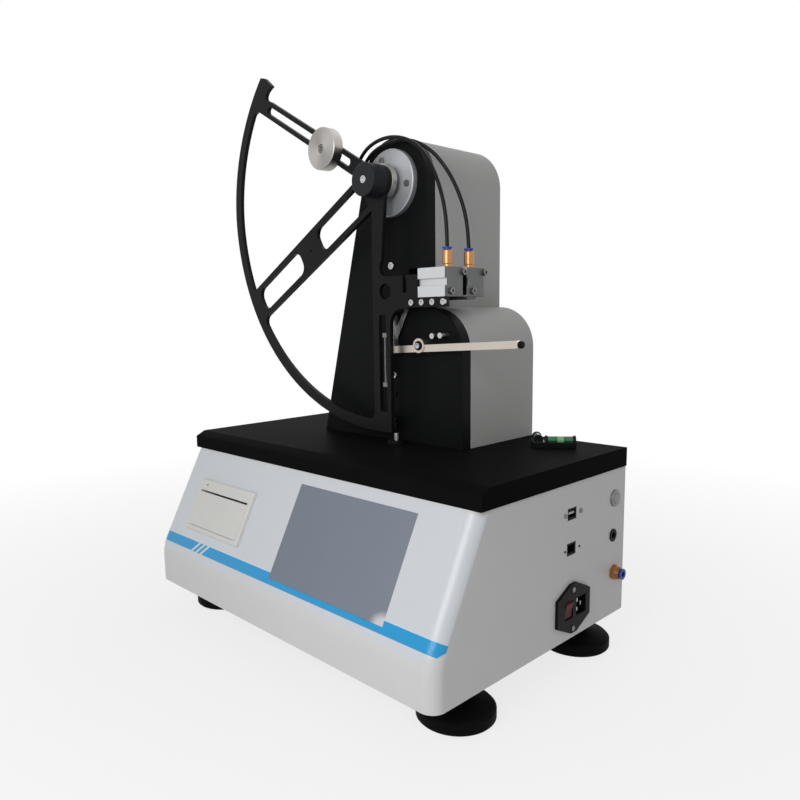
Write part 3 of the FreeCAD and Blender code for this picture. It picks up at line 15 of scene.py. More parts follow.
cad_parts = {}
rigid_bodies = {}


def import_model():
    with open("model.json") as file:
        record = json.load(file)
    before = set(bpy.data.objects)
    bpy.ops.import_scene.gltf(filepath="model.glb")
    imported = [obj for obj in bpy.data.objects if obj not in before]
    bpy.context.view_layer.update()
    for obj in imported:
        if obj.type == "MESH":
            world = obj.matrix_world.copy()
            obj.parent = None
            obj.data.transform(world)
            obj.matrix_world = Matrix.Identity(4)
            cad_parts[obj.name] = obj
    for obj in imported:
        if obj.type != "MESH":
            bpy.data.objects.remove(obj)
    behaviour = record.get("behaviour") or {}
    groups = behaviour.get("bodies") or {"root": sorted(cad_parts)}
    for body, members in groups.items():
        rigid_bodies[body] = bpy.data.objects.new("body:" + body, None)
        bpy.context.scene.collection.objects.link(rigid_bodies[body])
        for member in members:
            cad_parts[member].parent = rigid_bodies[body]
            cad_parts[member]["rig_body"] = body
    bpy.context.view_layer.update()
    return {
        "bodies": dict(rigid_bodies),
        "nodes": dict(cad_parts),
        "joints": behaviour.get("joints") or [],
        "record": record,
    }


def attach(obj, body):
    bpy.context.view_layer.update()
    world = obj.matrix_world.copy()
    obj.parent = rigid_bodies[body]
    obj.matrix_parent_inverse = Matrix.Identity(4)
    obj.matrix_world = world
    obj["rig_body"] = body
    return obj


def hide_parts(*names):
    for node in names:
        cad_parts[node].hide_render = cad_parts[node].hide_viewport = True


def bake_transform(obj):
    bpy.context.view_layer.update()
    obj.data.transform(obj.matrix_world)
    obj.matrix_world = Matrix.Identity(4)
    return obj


LOG = logging.getLogger("tear_tester")
MM = 0.001
TO_MM = 1000.0
# The casing's origin and the pendulum's axis, in the row frame.
ORIGIN_SHIFT = Vector((9.5, 52.0, 40.0)) * MM
AXIS_X, AXIS_Z = 0.024, 0.5005
WEIGHT_X, WEIGHT_Z = -0.05159, 0.54556

Colour = tuple[float, float, float]
Spot = tuple[float, float, float]


def casing(x: float, y: float, z: float) -> Vector:
    """A point of the row frame from millimetres in the casing's frame."""
    return Vector((x, y, z)) * MM + ORIGIN_SHIFT


def dimmed(colour: Sequence[float], share: float) -> tuple[float, ...]:
    """The colour with each channel brought to a share of itself."""
    return tuple(channel * share for channel in colour)


class Grain(Enum):
    """Way that drawn or ground lines run, as noise scales along X, Y and Z."""

    ALONG_X = (8, 900, 900)
    ALONG_Z = (900, 900, 8)


class Way(Enum):
    """Direction that a round piece faces, with the turn of a cylinder that points up."""

    RIGHT = ((1, 0, 0), (0.0, math.pi / 2, 0.0))
    FRONT = ((0, -1, 0), (math.pi / 2, 0.0, 0.0))

    @property
    def aim(self) -> Vector:
        """Unit vector of the direction."""
        return Vector(self.value[0])

    @property
    def turn(self) -> Spot:
        """The turn, in radians about X, Y and Z."""
        return self.value[1]


class Socket:
    """A shader value that can be used in Python expressions."""

    def __init__(self, tree: "Tree", output: bpy.types.NodeSocket) -> None:
        """Keep the output and the tree it belongs to."""
        self.tree = tree
        self.output = output

    def other(self, name: str) -> "Socket":
        """Another output of the same node."""
        return Socket(self.tree, self.output.node.outputs[name])

    def math(self, kind: str, *others: object) -> "Socket":
        """Send the value, and others after it, through a Math node."""
        return self.tree.node("ShaderNodeMath", {"operation": kind}, self, *others)

    def __add__(self, other: object) -> "Socket":
        """Sum."""
        return self.math("ADD", other)

    __radd__ = __add__

    def __sub__(self, other: object) -> "Socket":
        """Difference."""
        return self.math("SUBTRACT", other)

    def __rsub__(self, other: float) -> "Socket":
        """Reflected difference."""
        return self * -1.0 + other

    def __mul__(self, other: object) -> "Socket":
        """Product."""
        return self.math("MULTIPLY", other)

    __rmul__ = __mul__

    def __pow__(self, other: object) -> "Socket":
        """Power."""
        return self.math("POWER", other)

    def above(self, edge: float) -> "Socket":
        """One where the value is above an edge."""
        return self.math("GREATER_THAN", edge)

    def below(self, edge: float) -> "Socket":
        """One where the value is below an edge."""
        return self.math("LESS_THAN", edge)

    def between(self, low: float, high: float) -> "Socket":
        """One where the value lies between two edges."""
        return self.above(low) * self.below(high)

    def clip(self) -> "Socket":
        """The value held between 0 and 1."""
        return self.tree.node("ShaderNodeClamp", {}, self)

    def swing(self, reach: float) -> "Socket":
        """Noise of 0 to 1 turned into a value half a reach either side of zero."""
        return (self - 0.5) * reach


class Tree:
    """The nodes of a material or the world, with one method that makes any of them."""

    def __init__(self, name: str, library: object = None) -> None:
        """Start with no nodes.

        Args:
            name: Name of the material or world.
            library: Blender's collection that it goes into, by default the materials.
        """
        self.owner = (bpy.data.materials if library is None else library).new(name)
        self.owner.use_nodes = True
        self.nodes = self.owner.node_tree.nodes
        self.links = self.owner.node_tree.links
        self.nodes.clear()

    def node(self, kind: str, settings: dict, *values: object, out: object = 0,
             **named: object) -> Socket:
        """Add a node.

        Args:
            kind: The node's type.
            settings: Its settings, set before its sockets.
            values: Values or links of its first sockets, None to leave one alone.
            out: Name or number of the output that is returned.
            named: Values or links by socket name, with _ for a space.

        Returns:
            The chosen output.
        """
        made = self.nodes.new(kind)
        for key, value in settings.items():
            setattr(made, key, value)
        for index, value in enumerate(values):
            self._feed(made.inputs[index], value)
        for key, value in named.items():
            self._feed(made.inputs[key.replace("_", " ")], value)
        return Socket(self, made.outputs[out])

    def _feed(self, socket: bpy.types.NodeSocket, value: object) -> None:
        """Link or set one input.

        Args:
            socket: The input.
            value: What it gets; a colour may come without its alpha.
        """
        if isinstance(value, Socket):
            self.links.new(value.output, socket)
        elif isinstance(value, tuple) and len(value) == 3 and socket.type == "RGBA":
            socket.default_value = (*value, 1.0)
        elif value is not None:
            socket.default_value = value

    @cached_property
    def place(self) -> Socket:
        """The surface point in the row frame."""
        return self.node("ShaderNodeTexCoord", {}, out="Object")

    @cached_property
    def axes(self) -> tuple[Socket, Socket, Socket]:
        """The point's three coordinates, in metres."""
        first = self.node("ShaderNodeSeparateXYZ", {}, self.place)
        return first, first.other("Y"), first.other("Z")

    def noise(self, scale: float, detail: float = 3.0, roughness: float = 0.6,
              vector: Optional[Socket] = None) -> Socket:
        """Noise between 0 and 1.

        Args:
            scale: Features in a metre.
            detail: Number of finer layers.
            roughness: Weight of the finer layers.
            vector: Where it is read, by default the surface point.

        Returns:
            The noise.
        """
        return self.node("ShaderNodeTexNoise", {}, vector or self.place, Scale=scale,
                         Detail=detail, Roughness=roughness, out="Fac")

    def lines(self, grain: Grain) -> Socket:
        """Fine parallel lines, as drawing or grinding leaves them."""
        spread = self.node("ShaderNodeVectorMath", {"operation": "MULTIPLY"}, self.place,
                           grain.value)
        return self.noise(1.0, 3.0, 0.7, spread)

    def blend(self, factor: object, first: object, second: object) -> Socket:
        """Mix two colours."""
        return self.node("ShaderNodeMix", {"data_type": "RGBA"}, factor, *(None,) * 5,
                         first, second, out=2)

    def mottled(self, colour: Colour, share: float, factor: Socket) -> Socket:
        """A colour that goes from a share of itself to the whole with a factor."""
        return self.blend(factor, dimmed(colour, share), colour)

    def bump(self, height: Socket, strength: float, distance: float) -> Socket:
        """A normal from a height."""
        return self.node("ShaderNodeBump", {}, Strength=strength, Distance=distance,
                         Height=height, out="Normal")

    def finish(self, surface: Socket) -> object:
        """Send a shader to the output.

        Args:
            surface: The shader.

        Returns:
            The material or world.
        """
        kind = "World" if isinstance(self.owner, bpy.types.World) else "Material"
        output = self.nodes.new(f"ShaderNodeOutput{kind}")
        self.links.new(surface.output, output.inputs["Surface"])
        return self.owner

    def coat(self, colour: object, rough: Socket, **named: object) -> bpy.types.Material:
        """Finish the material with the main shader.

        Args:
            colour: Its base colour.
            rough: Its roughness, held between 0 and 1 here.
            named: Values or links of other sockets.

        Returns:
            The material.
        """
        return self.finish(self.node("ShaderNodeBsdfPrincipled", {}, Base_Color=colour,
                                     Roughness=rough.clip(), out="BSDF", **named))


@dataclass(frozen=True)
class Paint:
    """Sprayed coat with a fine orange peel and slight unevenness."""

    name: str
    colour: Colour
    roughness: float
    grain: float
    peel: float
    mottle: float = 0.03
    specular: float = 0.4
    cloud: float = 14.0
    cloud_low: float = 0.35
    cloud_gain: float = 2.2
    gloss_swing: float = 0.08
    peel_height: float = 0.0004

    def build(self) -> bpy.types.Material:
        """Return the material."""
        tree = Tree(self.name)
        fine, broad = tree.noise(self.grain, 2.0), tree.noise(self.cloud, 4.0)
        shade = tree.mottled(self.colour, 1 - self.mottle,
                             (broad - self.cloud_low) * self.cloud_gain)
        rough = self.roughness + broad.swing(self.gloss_swing) + fine.swing(self.gloss_swing)
        return tree.coat(shade, rough, Specular_IOR_Level=self.specular,
                         Normal=tree.bump(fine, self.peel, self.peel_height))


@dataclass(frozen=True)
class Machined:
    """Metal with fine tool lines along one axis."""

    name: str
    colour: Colour
    grain: Grain
    roughness: float
    depth: float = 0.1
    metallic: float = 1.0
    cloud: float = 60.0
    dark: float = 0.82
    line_share: float = 0.6
    line_swing: float = 0.18
    cloud_swing: float = 0.1
    line_height: float = 0.0003

    def build(self) -> bpy.types.Material:
        """Return the material."""
        tree = Tree(self.name)
        lines, broad = tree.lines(self.grain), tree.noise(self.cloud)
        shade = tree.mottled(self.colour, self.dark,
                             lines * self.line_share + broad * (1 - self.line_share))
        rough = self.roughness + lines.swing(self.line_swing) + broad.swing(self.cloud_swing)
        return tree.coat(shade, rough, Metallic=self.metallic,
                         Normal=tree.bump(lines, self.depth, self.line_height))


@dataclass(frozen=True)
class Turned:
    """Metal with rings round an axis along Y, as a lathe leaves them, and a painted sheen:
    colour lighter and darker in fans round the axis.
    """

    name: str
    colour: Colour
    centre: tuple[float, float]
    roughness: float
    rings: float = 1400.0
    metallic: float = 1.0
    depth: float = 0.12
    dark: float = 0.6
    # Number, turn and share of the fans of painted sheen.
    fans: float = 2.0
    fan_turn: float = 0.6
    fan_share: float = 0.4
    ring_share: float = 0.8
    ring_swing: float = 0.2
    ring_height: float = 0.0002

    def build(self) -> bpy.types.Material:
        """Return the material."""
        tree = Tree(self.name)
        x, _, z = tree.axes
        across, up = x - self.centre[0], z - self.centre[1]
        radius = (across * across + up * up) ** 0.5
        ring = tree.node("ShaderNodeTexNoise", {"noise_dimensions": "1D"}, W=radius,
                         Scale=self.rings, Detail=2.0, out="Fac")
        # Painted sheen: the colour goes lighter and darker with the angle round the axis, as
        # light would catch the turned rings.
        painted_sheen = (up.math("ARCTAN2", across) * self.fans + self.fan_turn).math("SINE")
        light = painted_sheen * self.fan_share + 0.5 + ring.swing(self.ring_share)
        shade = tree.mottled(self.colour, self.dark, light.clip())
        return tree.coat(shade, self.roughness + ring.swing(self.ring_swing),
                         Metallic=self.metallic,
                         Normal=tree.bump(ring, self.depth, self.ring_height))


@dataclass(frozen=True)
class Moulded:
    """Plastic or rubber with a fine mould grain."""

    name: str
    colour: Colour
    roughness: float
    grain: float = 1500.0
    depth: float = 0.1
    specular: float = 0.4
    cloud: float = 40.0
    dark: float = 0.9
    gloss_swing: float = 0.12
    grain_height: float = 0.0003

    def printed(self, tree: Tree, ground: Socket) -> Socket:
        """What shows over the ground colour; on a plain moulding, nothing does."""
        return ground

    def build(self) -> bpy.types.Material:
        """Return the material."""
        tree = Tree(self.name)
        fine, broad = tree.noise(self.grain, 2.0), tree.noise(self.cloud)
        ground = tree.mottled(self.colour, self.dark, broad)
        return tree.coat(self.printed(tree, ground),
                         self.roughness + fine.swing(self.gloss_swing),
                         Specular_IOR_Level=self.specular,
                         Normal=tree.bump(fine, self.depth, self.grain_height))


@dataclass(frozen=True)
class Slope:
    """The sloping front panel's line, to turn places into distances on it."""

    angle: float = math.radians(27.43)
    top_y: float = -0.0937
    top_z: float = 0.1969

    @property
    def up(self) -> Vector:
        """Unit vector up the slope."""
        return Vector((0.0, math.sin(self.angle), math.cos(self.angle)))

    @property
    def out(self) -> Vector:
        """Unit vector square out of the slope."""
        return Vector((0.0, -math.cos(self.angle), math.sin(self.angle)))

    def across(self, tree: Tree) -> Socket:
        """Millimetres to the right of the casing's middle."""
        return (tree.axes[0] - ORIGIN_SHIFT.x) * TO_MM

    def down(self, tree: Tree) -> Socket:
        """Millimetres down the slope from its top edge."""
        return ((tree.axes[1] - self.top_y) * -math.sin(self.angle)
                + (tree.axes[2] - self.top_z) * -math.cos(self.angle)) * TO_MM

    def point(self, across: float, down: float, out: float = 0.0) -> Vector:
        """A point of the row frame.

        Args:
            across: Millimetres to the right of the casing's middle.
            down: Millimetres down the slope from its top edge.
            out: Millimetres out of the slope.

        Returns:
            The point, in metres.
        """
        sine, cosine = math.sin(self.angle), math.cos(self.angle)
        return Vector((ORIGIN_SHIFT.x + across * MM,
                       self.top_y - (down * sine + out * cosine) * MM,
                       self.top_z - (down * cosine - out * sine) * MM))

    def below_top(self, point: Vector) -> float:
        """Metres that a point lies down the slope from its top edge."""
        return -(point - self.point(0, 0)).dot(self.up)


SLOPE = Slope()


@dataclass(frozen=True)
class PanelFilm(Moulded):
    """Printed front film: cool white with a blue stripe and three white slashes."""

    name: str = "film_print"
    colour: Colour = (0.74, 0.77, 0.81)
    roughness: float = 0.3
    grain: float = 1600.0
    depth: float = 0.05
    specular: float = 0.5
    cloud: float = 9.0
    dark: float = 0.97
    gloss_swing: float = 0.08
    grain_height: float = 0.0002
    blue: Colour = (0.01, 0.36, 0.74)
    stripe_top: float = 109.0
    stripe_low: float = 120.7
    slashes: int = 3
    slash_first: float = -143.0
    slash_pitch: float = 9.4
    slash_width: float = 4.2

    def printed(self, tree: Tree, ground: Socket) -> Socket:
        """Print the stripe and leave the slashes out of it.

        Args:
            tree: The material's nodes.
            ground: The film's own colour.

        Returns:
            The colour with the stripe.
        """
        down = SLOPE.down(tree)
        stripe = down.between(self.stripe_top, self.stripe_low)
        slant = SLOPE.across(tree) + (down - self.stripe_top)
        for index in range(self.slashes):
            start = self.slash_first + index * self.slash_pitch
            stripe = stripe * (1.0 - slant.between(start, start + self.slash_width))
        return tree.blend(stripe, ground, self.blue)


@dataclass(frozen=True)
class ScreenGlass:
    """Blue-grey touch screen, with a painted reflection of a window: a pale patch at one corner.
    """

    name: str = "screen_sheen"
    dark: Colour = (0.21, 0.245, 0.295)
    light: Colour = (0.25, 0.28, 0.335)
    # pale is the colour of the painted window reflection, and corner is where it is strongest.
    pale: Colour = (0.72, 0.73, 0.76)
    corner: tuple[float, float] = (162.0, 114.7)
    glow_reach: float = 13.0
    glow_squash: float = 0.55
    glow_fade: float = 0.14
    side_fade: float = 0.004
    mist: float = 22.0
    mist_share: float = 0.5
    roughness: float = 0.34
    gloss_swing: float = 0.08
    specular: float = 0.2

    def build(self) -> bpy.types.Material:
        """Return the material."""
        tree = Tree(self.name)
        across, down = SLOPE.across(tree), SLOPE.down(tree)
        mist = tree.noise(self.mist)
        from_side, from_foot = across - self.corner[0], down - self.corner[1]
        reach = (from_side * from_side * self.glow_squash + from_foot * from_foot) ** 0.5
        # glow is the painted reflection of a window: pale at the corner, fading with distance
        # from it.
        glow = (self.glow_reach - reach) * self.glow_fade + mist.swing(self.mist_share)
        shade = tree.blend((across * self.side_fade + mist * self.mist_share).clip(),
                           self.dark, self.light)
        return tree.coat(tree.blend(glow.clip(), shade, self.pale),
                         self.roughness + mist.swing(self.gloss_swing),
                         Specular_IOR_Level=self.specular)


@dataclass(frozen=True)
class PrinterShell(Moulded):
    """Cream moulding with the printer's small dark lamp."""

    name: str = "printer_shell"
    colour: Colour = (0.8, 0.795, 0.77)
    roughness: float = 0.45
    grain: float = 1300.0
    specular: float = 0.3
    cloud: float = 30.0
    dark: float = 0.93
    lamp: tuple[float, float] = (-162.1, 42.5)
    lamp_colour: Colour = (0.02, 0.02, 0.02)
    lamp_square: float = 1.4

    def printed(self, tree: Tree, ground: Socket) -> Socket:
        """Colour the lamp's round dot, whose squared radius is lamp_square.

        Args:
            tree: The material's nodes.
            ground: The moulding's own colour.

        Returns:
            The colour with the dot.
        """
        across, down = SLOPE.across(tree) - self.lamp[0], SLOPE.down(tree) - self.lamp[1]
        dot = (across * across + down * down).below(self.lamp_square)
        return tree.blend(dot, ground, self.lamp_colour)


@dataclass(frozen=True)
class CylinderAlloy:
    """Extruded cylinder body: pale sides with draw lines, and a matt grey end that is painted
    shade, as the end face in shadow.
    """

    name: str = "cylinder_alloy"
    pale: Colour = (0.68, 0.69, 0.7)
    # grey is painted shade: the colour of faces past end along X, the end face in shadow.
    grey: Colour = (0.2, 0.205, 0.205)
    end: float = 0.1178
    side_metal: float = 0.55
    end_metal: float = 0.2
    pale_dark: float = 0.9
    grey_dark: float = 0.85
    grain: float = 1400.0
    roughness: float = 0.5
    gloss_swing: float = 0.15
    depth: float = 0.05
    line_height: float = 0.0003

    def build(self) -> bpy.types.Material:
        """Return the material."""
        tree = Tree(self.name)
        # Painted shade: faces past end along X take the grey colour and less metal.
        shaded_end = tree.axes[0].above(self.end)
        lines = tree.lines(Grain.ALONG_X)
        pale = tree.mottled(self.pale, self.pale_dark, lines)
        grey = tree.mottled(self.grey, self.grey_dark, tree.noise(self.grain, 2.0))
        metal = self.side_metal - shaded_end * (self.side_metal - self.end_metal)
        return tree.coat(tree.blend(shaded_end, pale, grey),
                         self.roughness + lines.swing(self.gloss_swing), Metallic=metal,
                         Normal=tree.bump(lines, self.depth, self.line_height))


@dataclass(frozen=True)
class Vial:
    """Green fluid behind clear plastic, with a paler bubble between two dark rings."""

    name: str
    centre: Vector
    direction: Vector
    green: Colour = (0.008, 0.17, 0.06)
    bubble: Colour = (0.3, 0.62, 0.3)
    ring: Colour = (0.01, 0.02, 0.01)
    bubble_half: float = 3.2
    ring_span: tuple[float, float] = (4.6, 5.3)
    bubble_share: float = 0.75
    cloud: float = 160.0
    dark: float = 0.7
    roughness: float = 0.12
    gloss_rise: float = 0.06
    clear_coat: float = 0.6

    def build(self) -> bpy.types.Material:
        """Return the material."""
        tree = Tree(self.name)
        offset = tree.node("ShaderNodeVectorMath", {"operation": "SUBTRACT"}, tree.place,
                           tuple(self.centre))
        along = tree.node("ShaderNodeVectorMath", {"operation": "DOT_PRODUCT"}, offset,
                          tuple(self.direction), out="Value")
        reach = along.math("ABSOLUTE") * TO_MM
        cloud = tree.noise(self.cloud, 2.0)
        fluid = tree.mottled(self.green, self.dark, cloud)
        fluid = tree.blend(reach.below(self.bubble_half) * self.bubble_share, fluid,
                           self.bubble)
        fluid = tree.blend(reach.between(*self.ring_span), fluid, self.ring)
        return tree.coat(fluid, self.roughness + cloud * self.gloss_rise,
                         Coat_Weight=self.clear_coat)


class Finish(Enum):
    """Every plain finish of the instrument."""

    CASING = Paint("casing_coat", (0.78, 0.78, 0.78), 0.4, 700.0, 0.10, specular=0.25)
    TOP = Paint("top_plate_coat", (0.008, 0.008, 0.008), 0.5, 1200.0, 0.25, mottle=0.2,
                specular=0.004)
    TOWER = Paint("tower_coat", (0.007, 0.0075, 0.008), 0.45, 1500.0, 0.2, mottle=0.15,
                  specular=0.05)
    COVER = Paint("cover_coat", (0.58, 0.575, 0.57), 0.6, 1100.0, 0.25, specular=0.15)
    ANODISED = Paint("pendulum_anodising", (0.011, 0.0115, 0.012), 0.4, 2000.0, 0.12,
                     mottle=0.15, specular=0.08)
    SHEET = Machined("zinc_sheet", (0.5, 0.51, 0.53), Grain.ALONG_X, 0.45)
    LEVER = Machined("lever_steel", (0.62, 0.56, 0.5), Grain.ALONG_X, 0.36)
    BLADE = Machined("blade_steel", (0.42, 0.42, 0.42), Grain.ALONG_Z, 0.3)
    GREY_ALLOY = Machined("jaw_alloy", (0.1, 0.1, 0.105), Grain.ALONG_X, 0.45, metallic=0.7)
    SLIDE_ALLOY = Machined("slide_alloy", (0.5, 0.5, 0.5), Grain.ALONG_Z, 0.4, metallic=0.8)
    BRIGHT = Machined("bright_steel", (0.55, 0.55, 0.56), Grain.ALONG_Z, 0.3, 0.05)
    SATIN = Machined("satin_steel", (0.22, 0.215, 0.21), Grain.ALONG_Z, 0.38, 0.05)
    BRASS = Machined("fitting_brass", (0.5, 0.24, 0.1), Grain.ALONG_Z, 0.32, 0.06)
    FLANGE = Turned("flange_facing", (0.56, 0.58, 0.61), (AXIS_X, AXIS_Z), 0.45, 1100.0, 0.45)
    SHAFT = Turned("shaft_facing", (0.5, 0.48, 0.46), (AXIS_X, AXIS_Z), 0.34)
    WEIGHT = Turned("weight_facing", (0.5, 0.48, 0.46), (WEIGHT_X, WEIGHT_Z), 0.34, 1800.0)
    CAP = Moulded("hub_cap_anodising", (0.022, 0.0235, 0.028), 0.4, specular=0.12)
    BLACK = Moulded("black_moulding", (0.007, 0.007, 0.0075), 0.4, specular=0.06)
    GLOSS_BLACK = Moulded("gloss_black_moulding", (0.008, 0.010, 0.009), 0.22, depth=0.03,
                          specular=0.15)
    RUBBER = Moulded("foot_rubber", (0.006, 0.006, 0.006), 0.6, 900.0, 0.35, 0.03)
    RED = Moulded("rocker_red", (0.085, 0.004, 0.012), 0.4, depth=0.02, specular=0.1)
    BLUE = Moulded("collet_blue", (0.02, 0.07, 0.42), 0.32, depth=0.03)
    TUBE = Moulded("tube_black", (0.006, 0.006, 0.007), 0.3, depth=0.02, specular=0.15)
    PAPER = Moulded("paper_white", (0.78, 0.78, 0.75), 0.75, 2500.0, 0.15)
    BOARD = Moulded("board_mask", (0.02, 0.16, 0.06), 0.35, 1200.0)
    TONGUE = Moulded("tongue_white", (0.7, 0.7, 0.7), 0.4, depth=0.02)


MADE: dict[str, bpy.types.Material] = {}


def material(finish: object) -> bpy.types.Material:
    """Make a finish's material, once.

    Args:
        finish: A Finish, or a finish's own class with its values.

    Returns:
        The material.
    """
    recipe = finish.value if isinstance(finish, Finish) else finish
    if recipe.name not in MADE:
        MADE[recipe.name] = recipe.build()
    return MADE[recipe.name]


# Corners nearer than JOIN metres are one and faces that turn less than FLAT are joined.
# Edges that turn more than SHARP are rounded, and less than SMOOTH are shaded smooth.
JOIN = 1e-5
FLAT = math.radians(0.5)
SHARP = math.radians(38)
SMOOTH = math.radians(50)


def choose(piece: bpy.types.Object) -> None:
    """Select only this object and make it the active one.

    Args:
        piece: The object.
    """
    bpy.ops.object.select_all(action="DESELECT")
    piece.select_set(True)
    bpy.context.view_layer.objects.active = piece


def stand(name: str, data: object) -> bpy.types.Object:
    """Link a new object with its data to the scene.

    Args:
        name: Its name.
        data: Its mesh, curve, lamp or camera data.

    Returns:
        The object.
    """
    made = bpy.data.objects.new(name, data)
    bpy.context.scene.collection.objects.link(made)
    return made


@contextmanager
def editing(piece: bpy.types.Object, everything: bool = True) -> Iterator[None]:
    """Work on a piece's mesh in edit mode.

    Args:
        piece: The piece.
        everything: Whether its whole mesh is selected first.
    """
    choose(piece)
    bpy.ops.object.mode_set(mode="EDIT")
    if everything:
        bpy.ops.mesh.select_all(action="SELECT")
    yield
    bpy.ops.object.mode_set(mode="OBJECT")


def modify(piece: bpy.types.Object, kind: str, **settings: object) -> None:
    """Apply a modifier.

    Args:
        piece: The piece.
        kind: The modifier's type.
        settings: Its settings.
    """
    choose(piece)
    made = piece.modifiers.new(kind.lower(), kind)
    for key, value in settings.items():
        setattr(made, key, value)
    bpy.ops.object.modifier_apply(modifier=made.name)


def soften(piece: bpy.types.Object, width: float, segments: int = 2) -> None:
    """Round sharp edges and smooth the curved faces.

    Args:
        piece: The piece.
        width: Width of the rounding in millimetres, 0 for none.
        segments: Its steps.
    """
    if width:
        modify(piece, "BEVEL", width=width * MM, segments=segments, limit_method="ANGLE",
               angle_limit=SHARP, use_clamp_overlap=True)
    choose(piece)
    bpy.ops.object.shade_smooth_by_angle(angle=SMOOTH)
    modify(piece, "WEIGHTED_NORMAL", mode="FACE_AREA", weight=100, keep_sharp=True)


def cut(piece: bpy.types.Object, *tools: bpy.types.Object) -> None:
    """Take the tools' volume out of a piece.

    Args:
        piece: The piece.
        tools: The cutting shapes, which are used up.
    """
    for tool in tools:
        modify(piece, "BOOLEAN", operation="DIFFERENCE", solver="EXACT", object=tool)
        bpy.data.objects.remove(tool)


def primitive(name: str, add: Callable[..., set], **settings: object) -> bpy.types.Object:
    """Add a primitive with nothing else selected.

    Args:
        name: The new object's name.
        add: The operator that makes it.
        settings: The operator's settings.

    Returns:
        The new object.
    """
    bpy.ops.object.select_all(action="DESELECT")
    add(**settings)
    made = bpy.context.object
    made.name = name
    return made


def drum(name: str, centre: Vector, radius: float, depth: float, turn: Sequence[float],
         sides: int = 48) -> bpy.types.Object:
    """A round or many-sided bar.

    Args:
        name: Its name.
        centre: Its middle, in metres.
        radius: Its radius in millimetres.
        depth: Its length in millimetres.
        turn: How it is turned from standing upright.
        sides: Number of its sides.

    Returns:
        The bar.
    """
    return primitive(name, bpy.ops.mesh.primitive_cylinder_add, vertices=sides,
                     radius=radius * MM, depth=depth * MM, location=centre, rotation=turn)


def brick(name: str, low: Sequence[float], high: Sequence[float]) -> bpy.types.Object:
    """A block between two corners.

    Args:
        name: Its name.
        low: Its lowest corner, in the casing's millimetres.
        high: Its highest corner.

    Returns:
        The block.
    """
    first, last = casing(*low), casing(*high)
    made = primitive(name, bpy.ops.mesh.primitive_cube_add, size=1.0,
                     location=(first + last) / 2)
    made.scale = last - first
    return made


def panel_block(name: str, *ranges: tuple[float, float]) -> bpy.types.Object:
    """A block on the sloping panel.

    Args:
        name: Its name.
        ranges: Its reach across, down and out, in millimetres.

    Returns:
        The block.
    """
    made = primitive(name, bpy.ops.mesh.primitive_cube_add, size=1.0,
                     location=SLOPE.point(*(sum(ends) / 2 for ends in ranges)),
                     rotation=(math.pi / 2 - SLOPE.angle, 0.0, 0.0))
    made.scale = Vector([last - first for first, last in ranges]) * MM
    return made


def prism(name: str, outline: Sequence[Sequence[float]], front: float,
          back: float) -> bpy.types.Object:
    """A plate from its outline.

    Args:
        name: Its name.
        outline: Its corners (x, z) about the pendulum's axis, in millimetres.
        front: Where it starts along Y in the row frame, in millimetres.
        back: Where it ends.

    Returns:
        The plate.
    """
    mesh = bpy.data.meshes.new(name)
    spots = [(AXIS_X + x * MM, front * MM, AXIS_Z + z * MM) for x, z in outline]
    mesh.from_pydata(spots, [], [list(range(len(spots)))])
    made = stand(name, mesh)
    with editing(made):
        bpy.ops.mesh.extrude_region_move(
            TRANSFORM_OT_translate={"value": (0.0, (back - front) * MM, 0.0)})
        bpy.ops.mesh.select_all(action="SELECT")
        bpy.ops.mesh.normals_make_consistent(inside=False)
    return made


@dataclass(frozen=True)
class Screw:
    """A cap screw: where its head sits in the casing's frame, and its size, in millimetres."""

    name: str
    seat: Spot
    radius: float
    height: float
    way: Way = Way.RIGHT
    body: str = "base"
    finish: Finish = Finish.SATIN


@dataclass(frozen=True)
class Block:
    """A rounded block on the base, between two corners in the casing's millimetres."""

    name: str
    low: Spot
    high: Spot
    edge: float
    finish: Finish
    slot: str
    segments: int = 2


